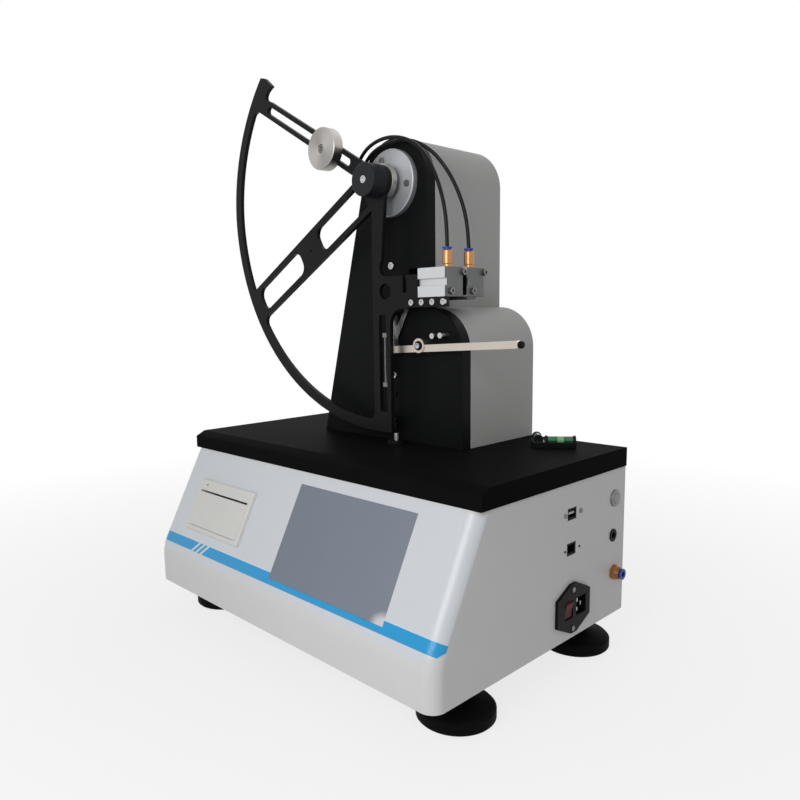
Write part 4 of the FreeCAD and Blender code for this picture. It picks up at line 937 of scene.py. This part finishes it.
@dataclass
class Assembly:
    """What every sub-assembly shares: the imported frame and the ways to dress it."""

    frame: dict
    made: list[str] = field(default_factory=list)
    socket_share: float = 0.52
    socket_sides: int = 6
    socket_edge: float = 0.09

    def add(self, piece: bpy.types.Object, body: str, finish: object,
            slot: str) -> bpy.types.Object:
        """Give a finished piece its material and body.

        Args:
            piece: The mesh, at its place.
            body: The body that it rides on.
            finish: Its finish.
            slot: The record's slot; it is not used.

        Returns:
            The piece.
        """
        choose(piece)
        bpy.ops.object.transform_apply(location=True, rotation=True, scale=True)
        piece.data.materials.clear()
        piece.data.materials.append(material(finish))
        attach(piece, body)
        self.made.append(piece.name)
        return piece

    def copy(self, node: str, name: str) -> bpy.types.Object:
        """Copy a node's mesh, without the normals that it came with.

        Args:
            node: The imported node.
            name: The copy's name.

        Returns:
            The copy, whose triangles are still loose.
        """
        piece = stand(name, self.frame["nodes"][node].data.copy())
        choose(piece)
        bpy.ops.mesh.customdata_custom_splitnormals_clear()
        return piece

    def dress(self, node: str, finish: object, edge: float = 0.3, segments: int = 2,
              shape: Optional[Callable[[bpy.types.Object], None]] = None) -> None:
        """Stand a finished copy in a node's place, with joined faces and softened edges.

        Args:
            node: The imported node.
            finish: The copy's finish.
            edge: Width of the edge rounding in millimetres.
            segments: Steps of the rounding.
            shape: What shapes the joined copy before its edges are softened.
        """
        piece = self.copy(node, f"{node}_dressed")
        with editing(piece):
            bpy.ops.mesh.remove_doubles(threshold=JOIN)
            bpy.ops.mesh.dissolve_limited(angle_limit=FLAT)
        if shape:
            shape(piece)
        soften(piece, edge, segments)
        rows = self.frame["record"]["subparts"]
        slot = next(row["material_slot"] for row in rows if row["node"] == node)
        self.add(piece, self.frame["nodes"][node]["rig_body"], finish, slot)
        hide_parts(node)

    def plain(self, finish: object, *nodes: str) -> None:
        """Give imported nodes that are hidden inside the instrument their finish.

        Args:
            finish: The finish.
            nodes: The nodes' names.
        """
        for node in nodes:
            mesh = self.frame["nodes"][node].data
            mesh.materials.clear()
            mesh.materials.append(material(finish))
            self.made.append(node)

    def fasten(self, *screws: Screw) -> None:
        """Add the heads of cap screws with their hexagonal sockets.

        Args:
            screws: The screws.
        """
        for screw in screws:
            seat, step = casing(*screw.seat), screw.way.aim * screw.height * MM
            head = drum(screw.name, seat + step / 2, screw.radius, screw.height,
                        screw.way.turn)
            cut(head, drum("socket_tool", seat + step, screw.radius * self.socket_share,
                           screw.height, screw.way.turn, self.socket_sides))
            soften(head, screw.radius * self.socket_edge)
            self.add(head, screw.body, screw.finish, "steel")

    def lay(self, *blocks: Block) -> None:
        """Add rounded blocks.

        Args:
            blocks: The blocks.
        """
        for block in blocks:
            piece = brick(block.name, block.low, block.high)
            soften(piece, block.edge, block.segments)
            self.add(piece, "base", block.finish, block.slot)

    def report(self) -> None:
        """Log what was made."""
        LOG.info("%s: %s", type(self).__name__, ", ".join(self.made))


@dataclass
class AirTubes(Assembly):
    """The two thin air tubes that arch from the tower to the clamps."""

    radius: float = 2.0
    sides: int = 5
    steps: int = 14
    front_length: float = 0.2535
    rear_length: float = 0.2436
    front: tuple = (
        (100, -38, 386), (99.5, -38, 402), (97, -37.5, 422), (91, -37.5, 444), (81, -38, 467),
        (66, -39, 488), (44, -40, 502), (17, -41, 507), (-9, -41, 502), (-26, -40, 489),
        (-34.5, -38.5, 473), (-34.5, -36.5, 461), (-31.5, -33, 454), (-31.5, -27, 454))
    rear: tuple = (
        (100, -3.5, 386), (99, -3.5, 402), (96, -5, 424), (90, -9, 446), (81, -16, 468),
        (67, -24, 488), (46, -33, 501), (19, -36, 502), (-5, -37, 497), (-20, -37, 485),
        (-27, -36.5, 471), (-28, -35.5, 461.5), (-26, -32.5, 456.5), (-26, -27, 456.5))

    def line(self, name: str, points: Sequence[Spot]) -> bpy.types.Object:
        """A smooth open curve through a route.

        Args:
            name: Its name.
            points: Its control points, in the casing's millimetres.

        Returns:
            The curve, which has no thickness yet.
        """
        curve = bpy.data.curves.new(name, "CURVE")
        curve.dimensions = "3D"
        spline = curve.splines.new("NURBS")
        spline.points.add(len(points) - 1)
        for point, spot in zip(spline.points, points):
            point.co = (*casing(*spot), 1.0)
        spline.order_u = 3
        spline.use_endpoint_u = True
        spline.resolution_u = self.steps
        return stand(name, curve)

    def track(self, line: bpy.types.Object) -> list[Vector]:
        """Points along a curve.

        Args:
            line: The curve, with no thickness yet.

        Returns:
            The points, in order.
        """
        bpy.context.view_layer.update()
        mesh = bpy.data.meshes.new_from_object(line)
        points = [vertex.co.copy() for vertex in mesh.vertices]
        bpy.data.meshes.remove(mesh)
        return points

    def thicken(self, line: bpy.types.Object) -> None:
        """Give a curve the tube's thickness."""
        line.data.bevel_depth = self.radius * MM
        line.data.bevel_resolution = self.sides

    def build(self) -> None:
        """Make both tubes; the front one is turned into a mesh."""
        rear = self.line("fixed_tube", self.rear)
        self.thicken(rear)
        rear.data.materials.append(material(Finish.TUBE))
        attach(rear, "base")
        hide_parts("fixed_air_tube")
        front = self.line("pendulum_tube", self.front)
        path = self.track(front)
        self.thicken(front)
        choose(front)
        bpy.ops.object.convert(target="MESH")
        front = bpy.context.object
        front.data.materials.clear()
        front.data.materials.append(material(Finish.TUBE))
        bpy.ops.object.shade_smooth()
        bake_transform(front)
        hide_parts("pendulum_air_tube")
        self.made += [rear.name, front.name]


@dataclass
class BaseUnit(Assembly):
    """Casing, top plate, panel film, screen, feet, level and the units inside."""

    film_top: float = 2.0
    film_low: float = 129.0
    film_side: float = 225.0
    film_round: float = 20.0
    film_leans: tuple = (9, 27, 45, 63, 81)
    film_windows: tuple = ((-3.05, 162.05, 12.95, 114.75), (-177.0, -70.0, 37.0, 97.0))
    film_facing: float = 0.24
    film_depth: float = 14.5
    film_thick: float = 0.5
    glass_rows: tuple = ((13.0, 13.0), (111.0, 114.7))
    level_corner: Spot = (157.0, 33.0, 176.9)
    level_turn: float = math.radians(38)
    holder_cut: tuple = ((130, 10, 183.2), (210, 90, 195))
    vial_middle: Spot = (28.0, 6.0, 8.0)
    cap_radius: float = 5.2
    cap_depth: float = 2.8
    cap_rise: float = 7.6
    long_caps: tuple = (("near", 13.6, 6.0), ("far", 42.4, 6.0))
    short_caps: tuple = (("near", 6.0, 11.8), ("far", 6.0, 31.0))

    def build(self) -> None:
        """Dress the base's nodes and add its small parts."""
        self.dress("base_casing", Finish.CASING, 0.5)
        self.dress("top_plate", Finish.TOP, 0.8, 3)
        self.film()
        self.dress("touch_screen", ScreenGlass(), shape=self.lower_glass)
        self.dress("bottom_plate", Finish.SHEET, 0.4)
        self.level()
        for row in ("front", "rear"):
            for side in ("left", "right"):
                self.dress(f"{row}_{side}_foot", Finish.RUBBER, 0.5)
        self.plain(Finish.BLACK, "display_module", "stop_actuator")
        self.plain(Finish.BOARD, "control_board")
        self.plain(Finish.SHEET, "power_supply", "solenoid_valve")

    def film_edges(self) -> list[tuple[Vector, Vector]]:
        """The planes that bound the film.

        Returns:
            A point and the outward way of its two long edges and its rounded corners.
        """
        up, bend = SLOPE.up, self.film_round
        planes = [(SLOPE.point(0, self.film_top), up), (SLOPE.point(0, self.film_low), -up)]
        for side in (-1, 1):
            for lean in map(math.radians, self.film_leans):
                away = Vector((side * math.cos(lean), 0.0, 0.0)) - up * math.sin(lean)
                heart = SLOPE.point(side * (self.film_side - bend), self.film_low - bend)
                planes.append((heart + away * bend * MM, away))
        return planes

    def film(self) -> None:
        """Take the film from the casing's front skin, out to its rounded corners."""
        piece = self.copy("base_casing", "panel_film")
        up, right = SLOPE.up, Vector((1, 0, 0))
        slits = []
        for left, side, high, low in self.film_windows:
            slits += [(SLOPE.point(left, 0), right), (SLOPE.point(side, 0), right),
                      (SLOPE.point(0, high), up), (SLOPE.point(0, low), up)]
        with editing(piece):
            bpy.ops.mesh.remove_doubles(threshold=JOIN)
            for spot, away in self.film_edges():
                bpy.ops.mesh.select_all(action="SELECT")
                bpy.ops.mesh.bisect(plane_co=spot, plane_no=away, clear_outer=True)
            for spot, away in slits:
                bpy.ops.mesh.select_all(action="SELECT")
                bpy.ops.mesh.bisect(plane_co=spot, plane_no=away)
            bpy.ops.mesh.select_mode(type="FACE")
            bpy.ops.mesh.select_all(action="DESELECT")
        start = SLOPE.point(0, 0)
        for face in piece.data.polygons:
            across, down = face.center.x - start.x, SLOPE.below_top(face.center)
            inside = any(left < across / MM < side and high < down / MM < low
                         for left, side, high, low in self.film_windows)
            sunk = (face.center - start).dot(SLOPE.out) < -self.film_depth * MM
            face.select = face.normal.dot(SLOPE.out) < self.film_facing or inside or sunk
        with editing(piece, everything=False):
            bpy.ops.mesh.delete(type="FACE")
            bpy.ops.mesh.select_mode(type="VERT")
        modify(piece, "SOLIDIFY", thickness=self.film_thick * MM, offset=1.0)
        soften(piece, 0.0)
        self.add(piece, "base", PanelFilm(), "panel_film")
        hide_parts("front_film")

    def on_level(self, right: float, deep: float, rise: float) -> Vector:
        """A point on the level.

        Args:
            right: Millimetres along its long side.
            deep: Millimetres along its short side.
            rise: Millimetres above its foot.

        Returns:
            The point, in metres.
        """
        sine, cosine = math.sin(self.level_turn), math.cos(self.level_turn)
        return (casing(*self.level_corner) + Vector((cosine, sine, 0.0)) * right * MM
                + Vector((-sine, cosine, 0.0)) * deep * MM + Vector((0, 0, rise * MM)))

    def level(self) -> None:
        """Dress the level as a low holder with both vials lying open between round ends."""
        self.dress("level_body", Finish.GLOSS_BLACK, 0.5, 3, shape=self.lower_holder)
        turn = self.level_turn
        long_way = Vector((math.cos(turn), math.sin(turn), 0.0))
        self.dress("level_vials",
                   Vial("vial_fluid", self.on_level(*self.vial_middle), long_way), 0.6, 3)
        for side, caps, tilt in (("long", self.long_caps, (0.0, math.pi / 2, turn)),
                                 ("short", self.short_caps, (math.pi / 2, 0.0, turn))):
            for name, right, deep in caps:
                cap = drum(f"vial_cap_{side}_{name}", self.on_level(right, deep, self.cap_rise),
                           self.cap_radius, self.cap_depth, tilt)
                soften(cap, 0.6, 3)
                self.add(cap, "base", Finish.GLOSS_BLACK, "dark_plastic")

    def lower_glass(self, piece: bpy.types.Object) -> None:
        """Let the glass's edges lie on the panel a little lower than its opening.

        Args:
            piece: The glass's joined copy.
        """
        (old_top, new_top), (old_low, new_low) = self.glass_rows
        for vertex in piece.data.vertices:
            down = SLOPE.below_top(vertex.co) / MM
            share = (down - old_top) / (old_low - old_top)
            vertex.co -= SLOPE.up * (new_top + (new_low - new_top) * share - down) * MM

    def lower_holder(self, piece: bpy.types.Object) -> None:
        """Take the level holder's upper half away, so that the vials show."""
        cut(piece, brick("holder_tool", *self.holder_cut))


@dataclass
class PrinterUnit(Assembly):
    """Panel printer in the sloping front."""

    lip: tuple = ((-168.5, -78.5), (46.4, 49.3), (3.0, 5.2))

    def build(self) -> None:
        """Dress the printer's nodes and add the lip of its paper slot."""
        self.dress("printer_housing", PrinterShell(), 0.6, 3)
        self.dress("printer_door", PrinterShell(), 0.4)
        lip = panel_block("paper_slot_lip", *self.lip)
        soften(lip, 0.15)
        self.add(lip, "base", PrinterShell(), "cream_plastic")
        self.dress("paper_roll", Finish.PAPER)


@dataclass
class SidePanel(Assembly):
    """Inlet, sockets, push button and air port in the right wall."""

    coats: tuple = (
        ("power_inlet", Finish.BLACK, 0.5), ("power_rocker", Finish.RED, 0.4),
        ("usb_socket", Finish.BLACK, 0.25), ("data_socket", Finish.BLACK, 0.25),
        ("round_socket", Finish.BLACK, 0.3), ("push_button_body", Finish.SATIN, 0.4),
        ("push_button_cap", Finish.SATIN, 0.4), ("air_fitting", Finish.BRASS, 0.35),
        ("air_collet", Finish.BLUE, 0.3))
    screws: tuple = (
        Screw("usb_screw_left", (225, -14.8, 126.5), 2.3, 1.1),
        Screw("usb_screw_right", (225, 12.8, 126.5), 2.3, 1.1),
        Screw("data_screw_left", (225, -14.6, 91.0), 1.2, 0.5, finish=Finish.BLACK),
        Screw("data_screw_right", (225, 11.3, 91.0), 1.2, 0.5, finish=Finish.BLACK),
        Screw("inlet_screw_top", (228, -2.4, 51.0), 2.5, 0.9),
        Screw("inlet_screw_low", (228, -2.4, 11.6), 2.5, 0.9))
    usb_parts: tuple = (
        Block("usb_tongue", (212.5, -8.0, 126.3), (223.6, 3.0, 128.1), 0.2, Finish.TONGUE,
              "cream_plastic"),
        Block("usb_contacts", (214.0, -7.4, 125.9), (223.2, 2.4, 126.3), 0.1, Finish.BRIGHT,
              "steel"))
    pins: tuple = (("live", 9.0, 27.2), ("neutral", 9.0, 36.4), ("earth", 15.4, 31.8))
    pin_ends: tuple[float, float] = (214.5, 225.5)
    pin_half: tuple[float, float] = (1.0, 1.9)

    def build(self) -> None:
        """Dress the panel's nodes and add its screws, the tongue and the inlet's pins."""
        for node, finish, edge in self.coats:
            self.dress(node, finish, edge)
        self.fasten(*self.screws)
        self.lay(*self.usb_parts)
        (back, front), (wide, high) = self.pin_ends, self.pin_half
        self.lay(*(Block(f"inlet_pin_{name}", (back, y - wide, z - high),
                         (front, y + wide, z + high), 0.5, Finish.BRIGHT, "steel", 3)
                   for name, y, z in self.pins))


@dataclass
class Tower(Assembly):
    """Tower plate, cover, bearing housing and the pendulum's stop."""

    screws: tuple = (
        Screw("tower_plate_screw_upper", (11.1, -27, 373.0), 4.0, 2.4, Way.FRONT,
              finish=Finish.BRIGHT),
        Screw("tower_plate_screw_lower", (13.5, -27, 251.9), 4.0, 2.4, Way.FRONT,
              finish=Finish.BRIGHT),
        Screw("tower_plate_screw_dark", (13.0, -27, 230.0), 3.0, 1.8, Way.FRONT,
              finish=Finish.BLACK))

    def build(self) -> None:
        """Dress the tower's nodes and add its plate's screws."""
        self.dress("tower_front_plate", Finish.TOWER, 0.7, 3)
        self.dress("tower_cover", Finish.COVER, 0.5)
        self.dress("bearing_flange", Finish.FLANGE, 0.35)
        self.dress("tower_screws", Finish.SATIN, 0.2)
        self.dress("stop_bushing", Finish.BLACK)
        self.fasten(*self.screws)
        self.dress("stop_pin", Finish.BRIGHT)
        self.plain(Finish.BRIGHT, "bearings")
        self.plain(Finish.BLACK, "encoder")


@dataclass
class Pendulum(Assembly):
    """Sector pendulum with its hub, weight and stop lug.

    The rim's upper end is drawn in: not at all at rim_turn degrees, by rim_pull millimetres
    rim_span degrees before it, and less towards rim_inner millimetres from the axis.
    """

    rim_pull: float = 15.5
    rim_from: float = 130.0
    rim_turn: float = 185.0
    rim_span: float = 42.0
    rim_most: float = 1.2
    rim_curve: float = 1.7
    rim_inner: float = 222.0
    rim_fade: float = 22.0
    horn_edge: tuple = (
        (-212.0, 156.2), (-203.2, 153.4), (-195.2, 151.0), (-181.0, 138.9), (-187.4, 136.2),
        (-191.8, 133.2), (-194.3, 129.6), (-194.0, 126.2), (-190.6, 123.2), (-186.1, 121.6),
        (-160.0, 150.0), (-185.0, 200.0), (-240.0, 190.0))
    horn_depth: tuple[float, float] = (-3.0, 8.0)
    arm_hole: Spot = (-99.7, -49.0, 396.6)
    arm_hole_radius: float = 1.6
    arm_hole_length: float = 20.0
    screws: tuple = (
        Screw("hub_screw", (14.5, -70.5, 460.5), 4.1, 2.3, Way.FRONT, "pendulum",
              Finish.BRIGHT),
        Screw("weight_screw", (-61.09, -62.2, 505.56), 4.2, 2.7, Way.FRONT, "counterweight"))

    def build(self) -> None:
        """Dress the pendulum's nodes and add the hub's and the weight's screws."""
        self.dress("pendulum_plate", Finish.ANODISED, 0.35, shape=self.trim_plate)
        self.dress("hub_cap", Finish.CAP, 0.5, 3)
        self.dress("pendulum_shaft", Finish.SHAFT)
        self.dress("counterweight", Finish.WEIGHT, 0.4)
        self.dress("pendulum_screws", Finish.BRIGHT, 0.2)
        self.dress("stop_lug", Finish.BRIGHT)
        self.fasten(*self.screws)

    def trim_plate(self, piece: bpy.types.Object) -> None:
        """Draw the rim's upper end inwards and give the horn its hollow edge.

        Args:
            piece: The plate's joined copy.
        """
        for vertex in piece.data.vertices:
            x, z = vertex.co.x - AXIS_X, vertex.co.z - AXIS_Z
            reach, turn = math.hypot(x, z) / MM, math.degrees(math.atan2(z, x)) % 360
            share = 0.0
            if turn > self.rim_from:
                share = min(max((self.rim_turn - turn) / self.rim_span, 0.0), self.rim_most)
            weight = min(max((reach - self.rim_inner) / self.rim_fade, 0.0), 1.0)
            pull = (self.rim_pull * share ** self.rim_curve * weight * weight
                    * (3 - 2 * weight))
            scale = (reach - pull) / max(reach, 1.0)
            vertex.co.x, vertex.co.z = AXIS_X + x * scale, AXIS_Z + z * scale
        cut(piece, prism("horn_tool", self.horn_edge, *self.horn_depth),
            drum("arm_hole_tool", casing(*self.arm_hole), self.arm_hole_radius,
                 self.arm_hole_length, Way.FRONT.turn, 16))


@dataclass
class Clamps(Assembly):
    """Both air clamps: the one on the pendulum and the fixed one."""

    end_screws: tuple = (
        Screw("pendulum_end_screw_top", (108.7, -24.9, 361.0), 3.4, 4.0, body="pendulum"),
        Screw("pendulum_end_screw_low", (108.7, -44.1, 341.9), 3.4, 4.0, body="pendulum"),
        Screw("fixed_end_screw_top", (108.7, 9.6, 361.0), 3.4, 4.0),
        Screw("fixed_end_screw_low", (108.7, -9.6, 341.9), 3.4, 4.0))
    # A black strip on the fixed cylinder's front is painted shade: it stands for the shadow in
    # the gap between the jaws.
    pad: Block = Block("fixed_cylinder_pad", (72.5, -18.4, 338.0), (108.3, -17.3, 361.5), 0.3,
                       Finish.RUBBER, "rubber")
    shelf_cut: tuple = ((85, -39, 320), (120, -20, 336.3))
    strip_cut: tuple = ((98, -60, 320), (120, -20, 336.3))
    bracket_cut: tuple = ((67, -30, 320), (120, 20, 333.4))
    bracket_back_cut: tuple = ((50, -3, 320), (120, 20, 336.3))

    def build(self) -> None:
        """Dress the clamps' nodes and add their screws and the black strip of painted shade."""
        for side, shape in (("pendulum", self.trim_shelf), ("fixed", None)):
            self.dress(f"{side}_jaw_block", Finish.GREY_ALLOY, shape=shape)
            self.dress(f"{side}_moving_jaw", Finish.GREY_ALLOY, 0.25)
            self.dress(f"{side}_cylinder", CylinderAlloy(), 0.4)
            self.dress(f"{side}_fitting", Finish.BRASS, 0.25)
            self.dress(f"{side}_collet", Finish.BLUE)
        self.dress("clamp_bracket", Finish.GREY_ALLOY, shape=self.trim_bracket)
        self.fasten(*self.end_screws)
        self.lay(self.pad)

    def trim_shelf(self, piece: bpy.types.Object) -> None:
        """Shorten the shelf so that it ends behind the plate's strip."""
        cut(piece, brick("shelf_tool", *self.shelf_cut), brick("strip_tool", *self.strip_cut))

    def trim_bracket(self, piece: bpy.types.Object) -> None:
        """Keep the bracket's part that the tower plate's edge hides."""
        cut(piece, brick("bracket_tool", *self.bracket_cut),
            brick("bracket_back_tool", *self.bracket_back_cut))


@dataclass
class Knife(Assembly):
    """Slitting knife: lever, guide, slider and blade."""

    pivot: Spot = (62.2, -41.0, 286.2)
    washer_radius: float = 5.1
    washer_thick: float = 0.6
    head_radius: float = 2.9
    head_middle: float = 2.5
    ring_radius: float = 6.0
    ring_length: float = 4.6
    core_length: float = 9.0
    lever_end: Spot = (189.0, -38.0, 289.2)
    lever_end_radius: float = 3.5
    lever_end_length: float = 5.0

    def build(self) -> None:
        """Dress the knife's nodes and add the pivot's washer and the lever's end cap."""
        self.dress("knife_lever", Finish.LEVER, 0.4)
        self.dress("knife_pivot_screws", Finish.BRIGHT, 0.2, shape=self.narrow_head)
        self.dress("knife_guide", Finish.SATIN, 0.25)
        washer = drum("pivot_washer", self.before_pivot(self.washer_thick / 2),
                      self.washer_radius, self.washer_thick, Way.FRONT.turn)
        soften(washer, 0.1)
        self.add(washer, "knife_lever", Finish.BLACK, "dark_plastic")
        self.dress("knife_slider", Finish.SLIDE_ALLOY, 0.25)
        self.dress("knife_blade", Finish.BLADE, 0.1)
        cap = drum("lever_end_cap", casing(*self.lever_end), self.lever_end_radius,
                   self.lever_end_length, Way.RIGHT.turn)
        soften(cap, 1.2, 4)
        self.add(cap, "knife_lever", Finish.BLACK, "rubber")

    def before_pivot(self, distance: float) -> Vector:
        """A point that many millimetres before the lever's pivot."""
        return casing(*self.pivot) + Way.FRONT.aim * distance * MM

    def narrow_head(self, piece: bpy.types.Object) -> None:
        """Turn the pivot screw's head down, so that the washer shows round it.

        Args:
            piece: The pivot screws' joined copy.
        """
        middle, turn = self.before_pivot(self.head_middle), Way.FRONT.turn
        ring = drum("head_tool", middle, self.ring_radius, self.ring_length, turn)
        cut(ring, drum("core_tool", middle, self.head_radius, self.core_length, turn))
        cut(piece, ring)


@dataclass(frozen=True)
class Lamp:
    """A soft square lamp, in metres and watts."""

    name: str
    spot: Spot
    size: float
    power: float


@dataclass
class Studio:
    """Camera, pale floor and soft lamps."""

    focal: float = 714.22
    picture: float = 800.0
    sensor: float = 36.0
    azimuth: float = math.radians(47.249)
    pitch: float = math.radians(7.78)
    roll: float = math.radians(-1.162)
    middle: tuple[float, float] = (358.93, 411.89)
    spot: Spot = (576.46, -604.11, 320.49)
    farthest: float = 20.0
    floor_size: float = 8.0
    floor_z: float = -0.0002
    floor_colour: Colour = (0.82, 0.82, 0.82)
    floor_near: float = 0.84
    fade_from: float = 0.5
    fade: float = 0.25
    sky_level: float = 0.27
    aim: Spot = (0.0, 0.0, 0.25)
    lamps: tuple = (Lamp("key_lamp", (0.38, -0.95, 0.62), 0.6, 5.2),
                    Lamp("back_lamp", (-0.3, 1.9, 1.7), 1.2, 5.0))

    def camera(self) -> None:
        """Set the camera where the photograph was taken from."""
        ahead = Vector((-math.sin(self.azimuth) * math.cos(self.pitch),
                        math.cos(self.azimuth) * math.cos(self.pitch), -math.sin(self.pitch)))
        right = Vector((math.cos(self.azimuth), math.sin(self.azimuth), 0.0))
        above = right.cross(ahead)
        level = right * math.cos(self.roll) + above * math.sin(self.roll)
        upright = above * math.cos(self.roll) - right * math.sin(self.roll)
        data = bpy.data.cameras.new("photo_camera")
        data.sensor_width = self.sensor
        data.lens = self.focal / self.picture * self.sensor
        data.shift_x = (self.picture / 2 - self.middle[0]) / self.picture
        data.shift_y = (self.middle[1] - self.picture / 2) / self.picture
        data.clip_end = self.farthest
        made = stand("photo_camera", data)
        turn = Matrix((level, upright, -ahead)).transposed()
        made.matrix_world = Matrix.Translation(casing(*self.spot)) @ turn.to_4x4()
        bpy.context.scene.camera = made

    def seen(self, tree: Tree) -> Socket:
        """One for rays that show the background.

        Args:
            tree: The nodes that need it.

        Returns:
            One for camera, glossy and transmission rays, and zero for the others.
        """
        camera = tree.node("ShaderNodeLightPath", {}, out="Is Camera Ray")
        return (camera + camera.other("Is Glossy Ray")
                + camera.other("Is Transmission Ray")).clip()

    def floor(self) -> None:
        """A pale floor that keeps a soft shadow."""
        made = primitive("studio_floor", bpy.ops.mesh.primitive_plane_add,
                         size=self.floor_size, location=(0, 0, self.floor_z))
        tree = Tree("floor_pale")
        matte = tree.node("ShaderNodeBsdfDiffuse", {}, Color=self.floor_colour, out="BSDF")
        glow = tree.node("ShaderNodeEmission", {}, Color=(1.0, 1.0, 1.0), Strength=1.0,
                         out="Emission")
        x, y, _ = tree.axes
        away = ((x * x + y * y) ** 0.5 - self.fade_from) * self.fade
        both = tree.node("ShaderNodeMixShader", {},
                         self.seen(tree) * (away + self.floor_near).clip(), matte, glow)
        made.data.materials.append(tree.finish(both))

    def sky(self) -> None:
        """White behind the object and an even grey light on it."""
        tree = Tree("studio_sky", bpy.data.worlds)
        grey, white = (tree.node("ShaderNodeBackground", {}, (level,) * 3)
                       for level in (self.sky_level, 1.0))
        bpy.context.scene.world = tree.finish(
            tree.node("ShaderNodeMixShader", {}, self.seen(tree), grey, white))

    def light(self, lamp: Lamp) -> None:
        """Set up a lamp that shines at the object's middle.

        Args:
            lamp: The lamp.
        """
        data = bpy.data.lights.new(lamp.name, "AREA")
        data.size = lamp.size
        data.energy = lamp.power
        made = stand(lamp.name, data)
        made.location = lamp.spot
        made.visible_camera = False
        aim = Vector(self.aim) - Vector(lamp.spot)
        made.rotation_euler = aim.to_track_quat("-Z", "Y").to_euler()

    def build(self) -> None:
        """Make the whole studio."""
        self.camera()
        self.floor()
        self.sky()
        for lamp in self.lamps:
            self.light(lamp)
        bpy.context.scene.view_settings.view_transform = "Standard"


def main() -> None:
    """Build the studio and every sub-assembly."""
    logging.basicConfig(level=logging.INFO)
    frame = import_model()
    Studio().build()
    for assembly in (AirTubes, BaseUnit, PrinterUnit, SidePanel, Tower, Pendulum, Clamps, Knife):
        made = assembly(frame)
        made.build()
        made.report()


if __name__ == "__main__":
    main()
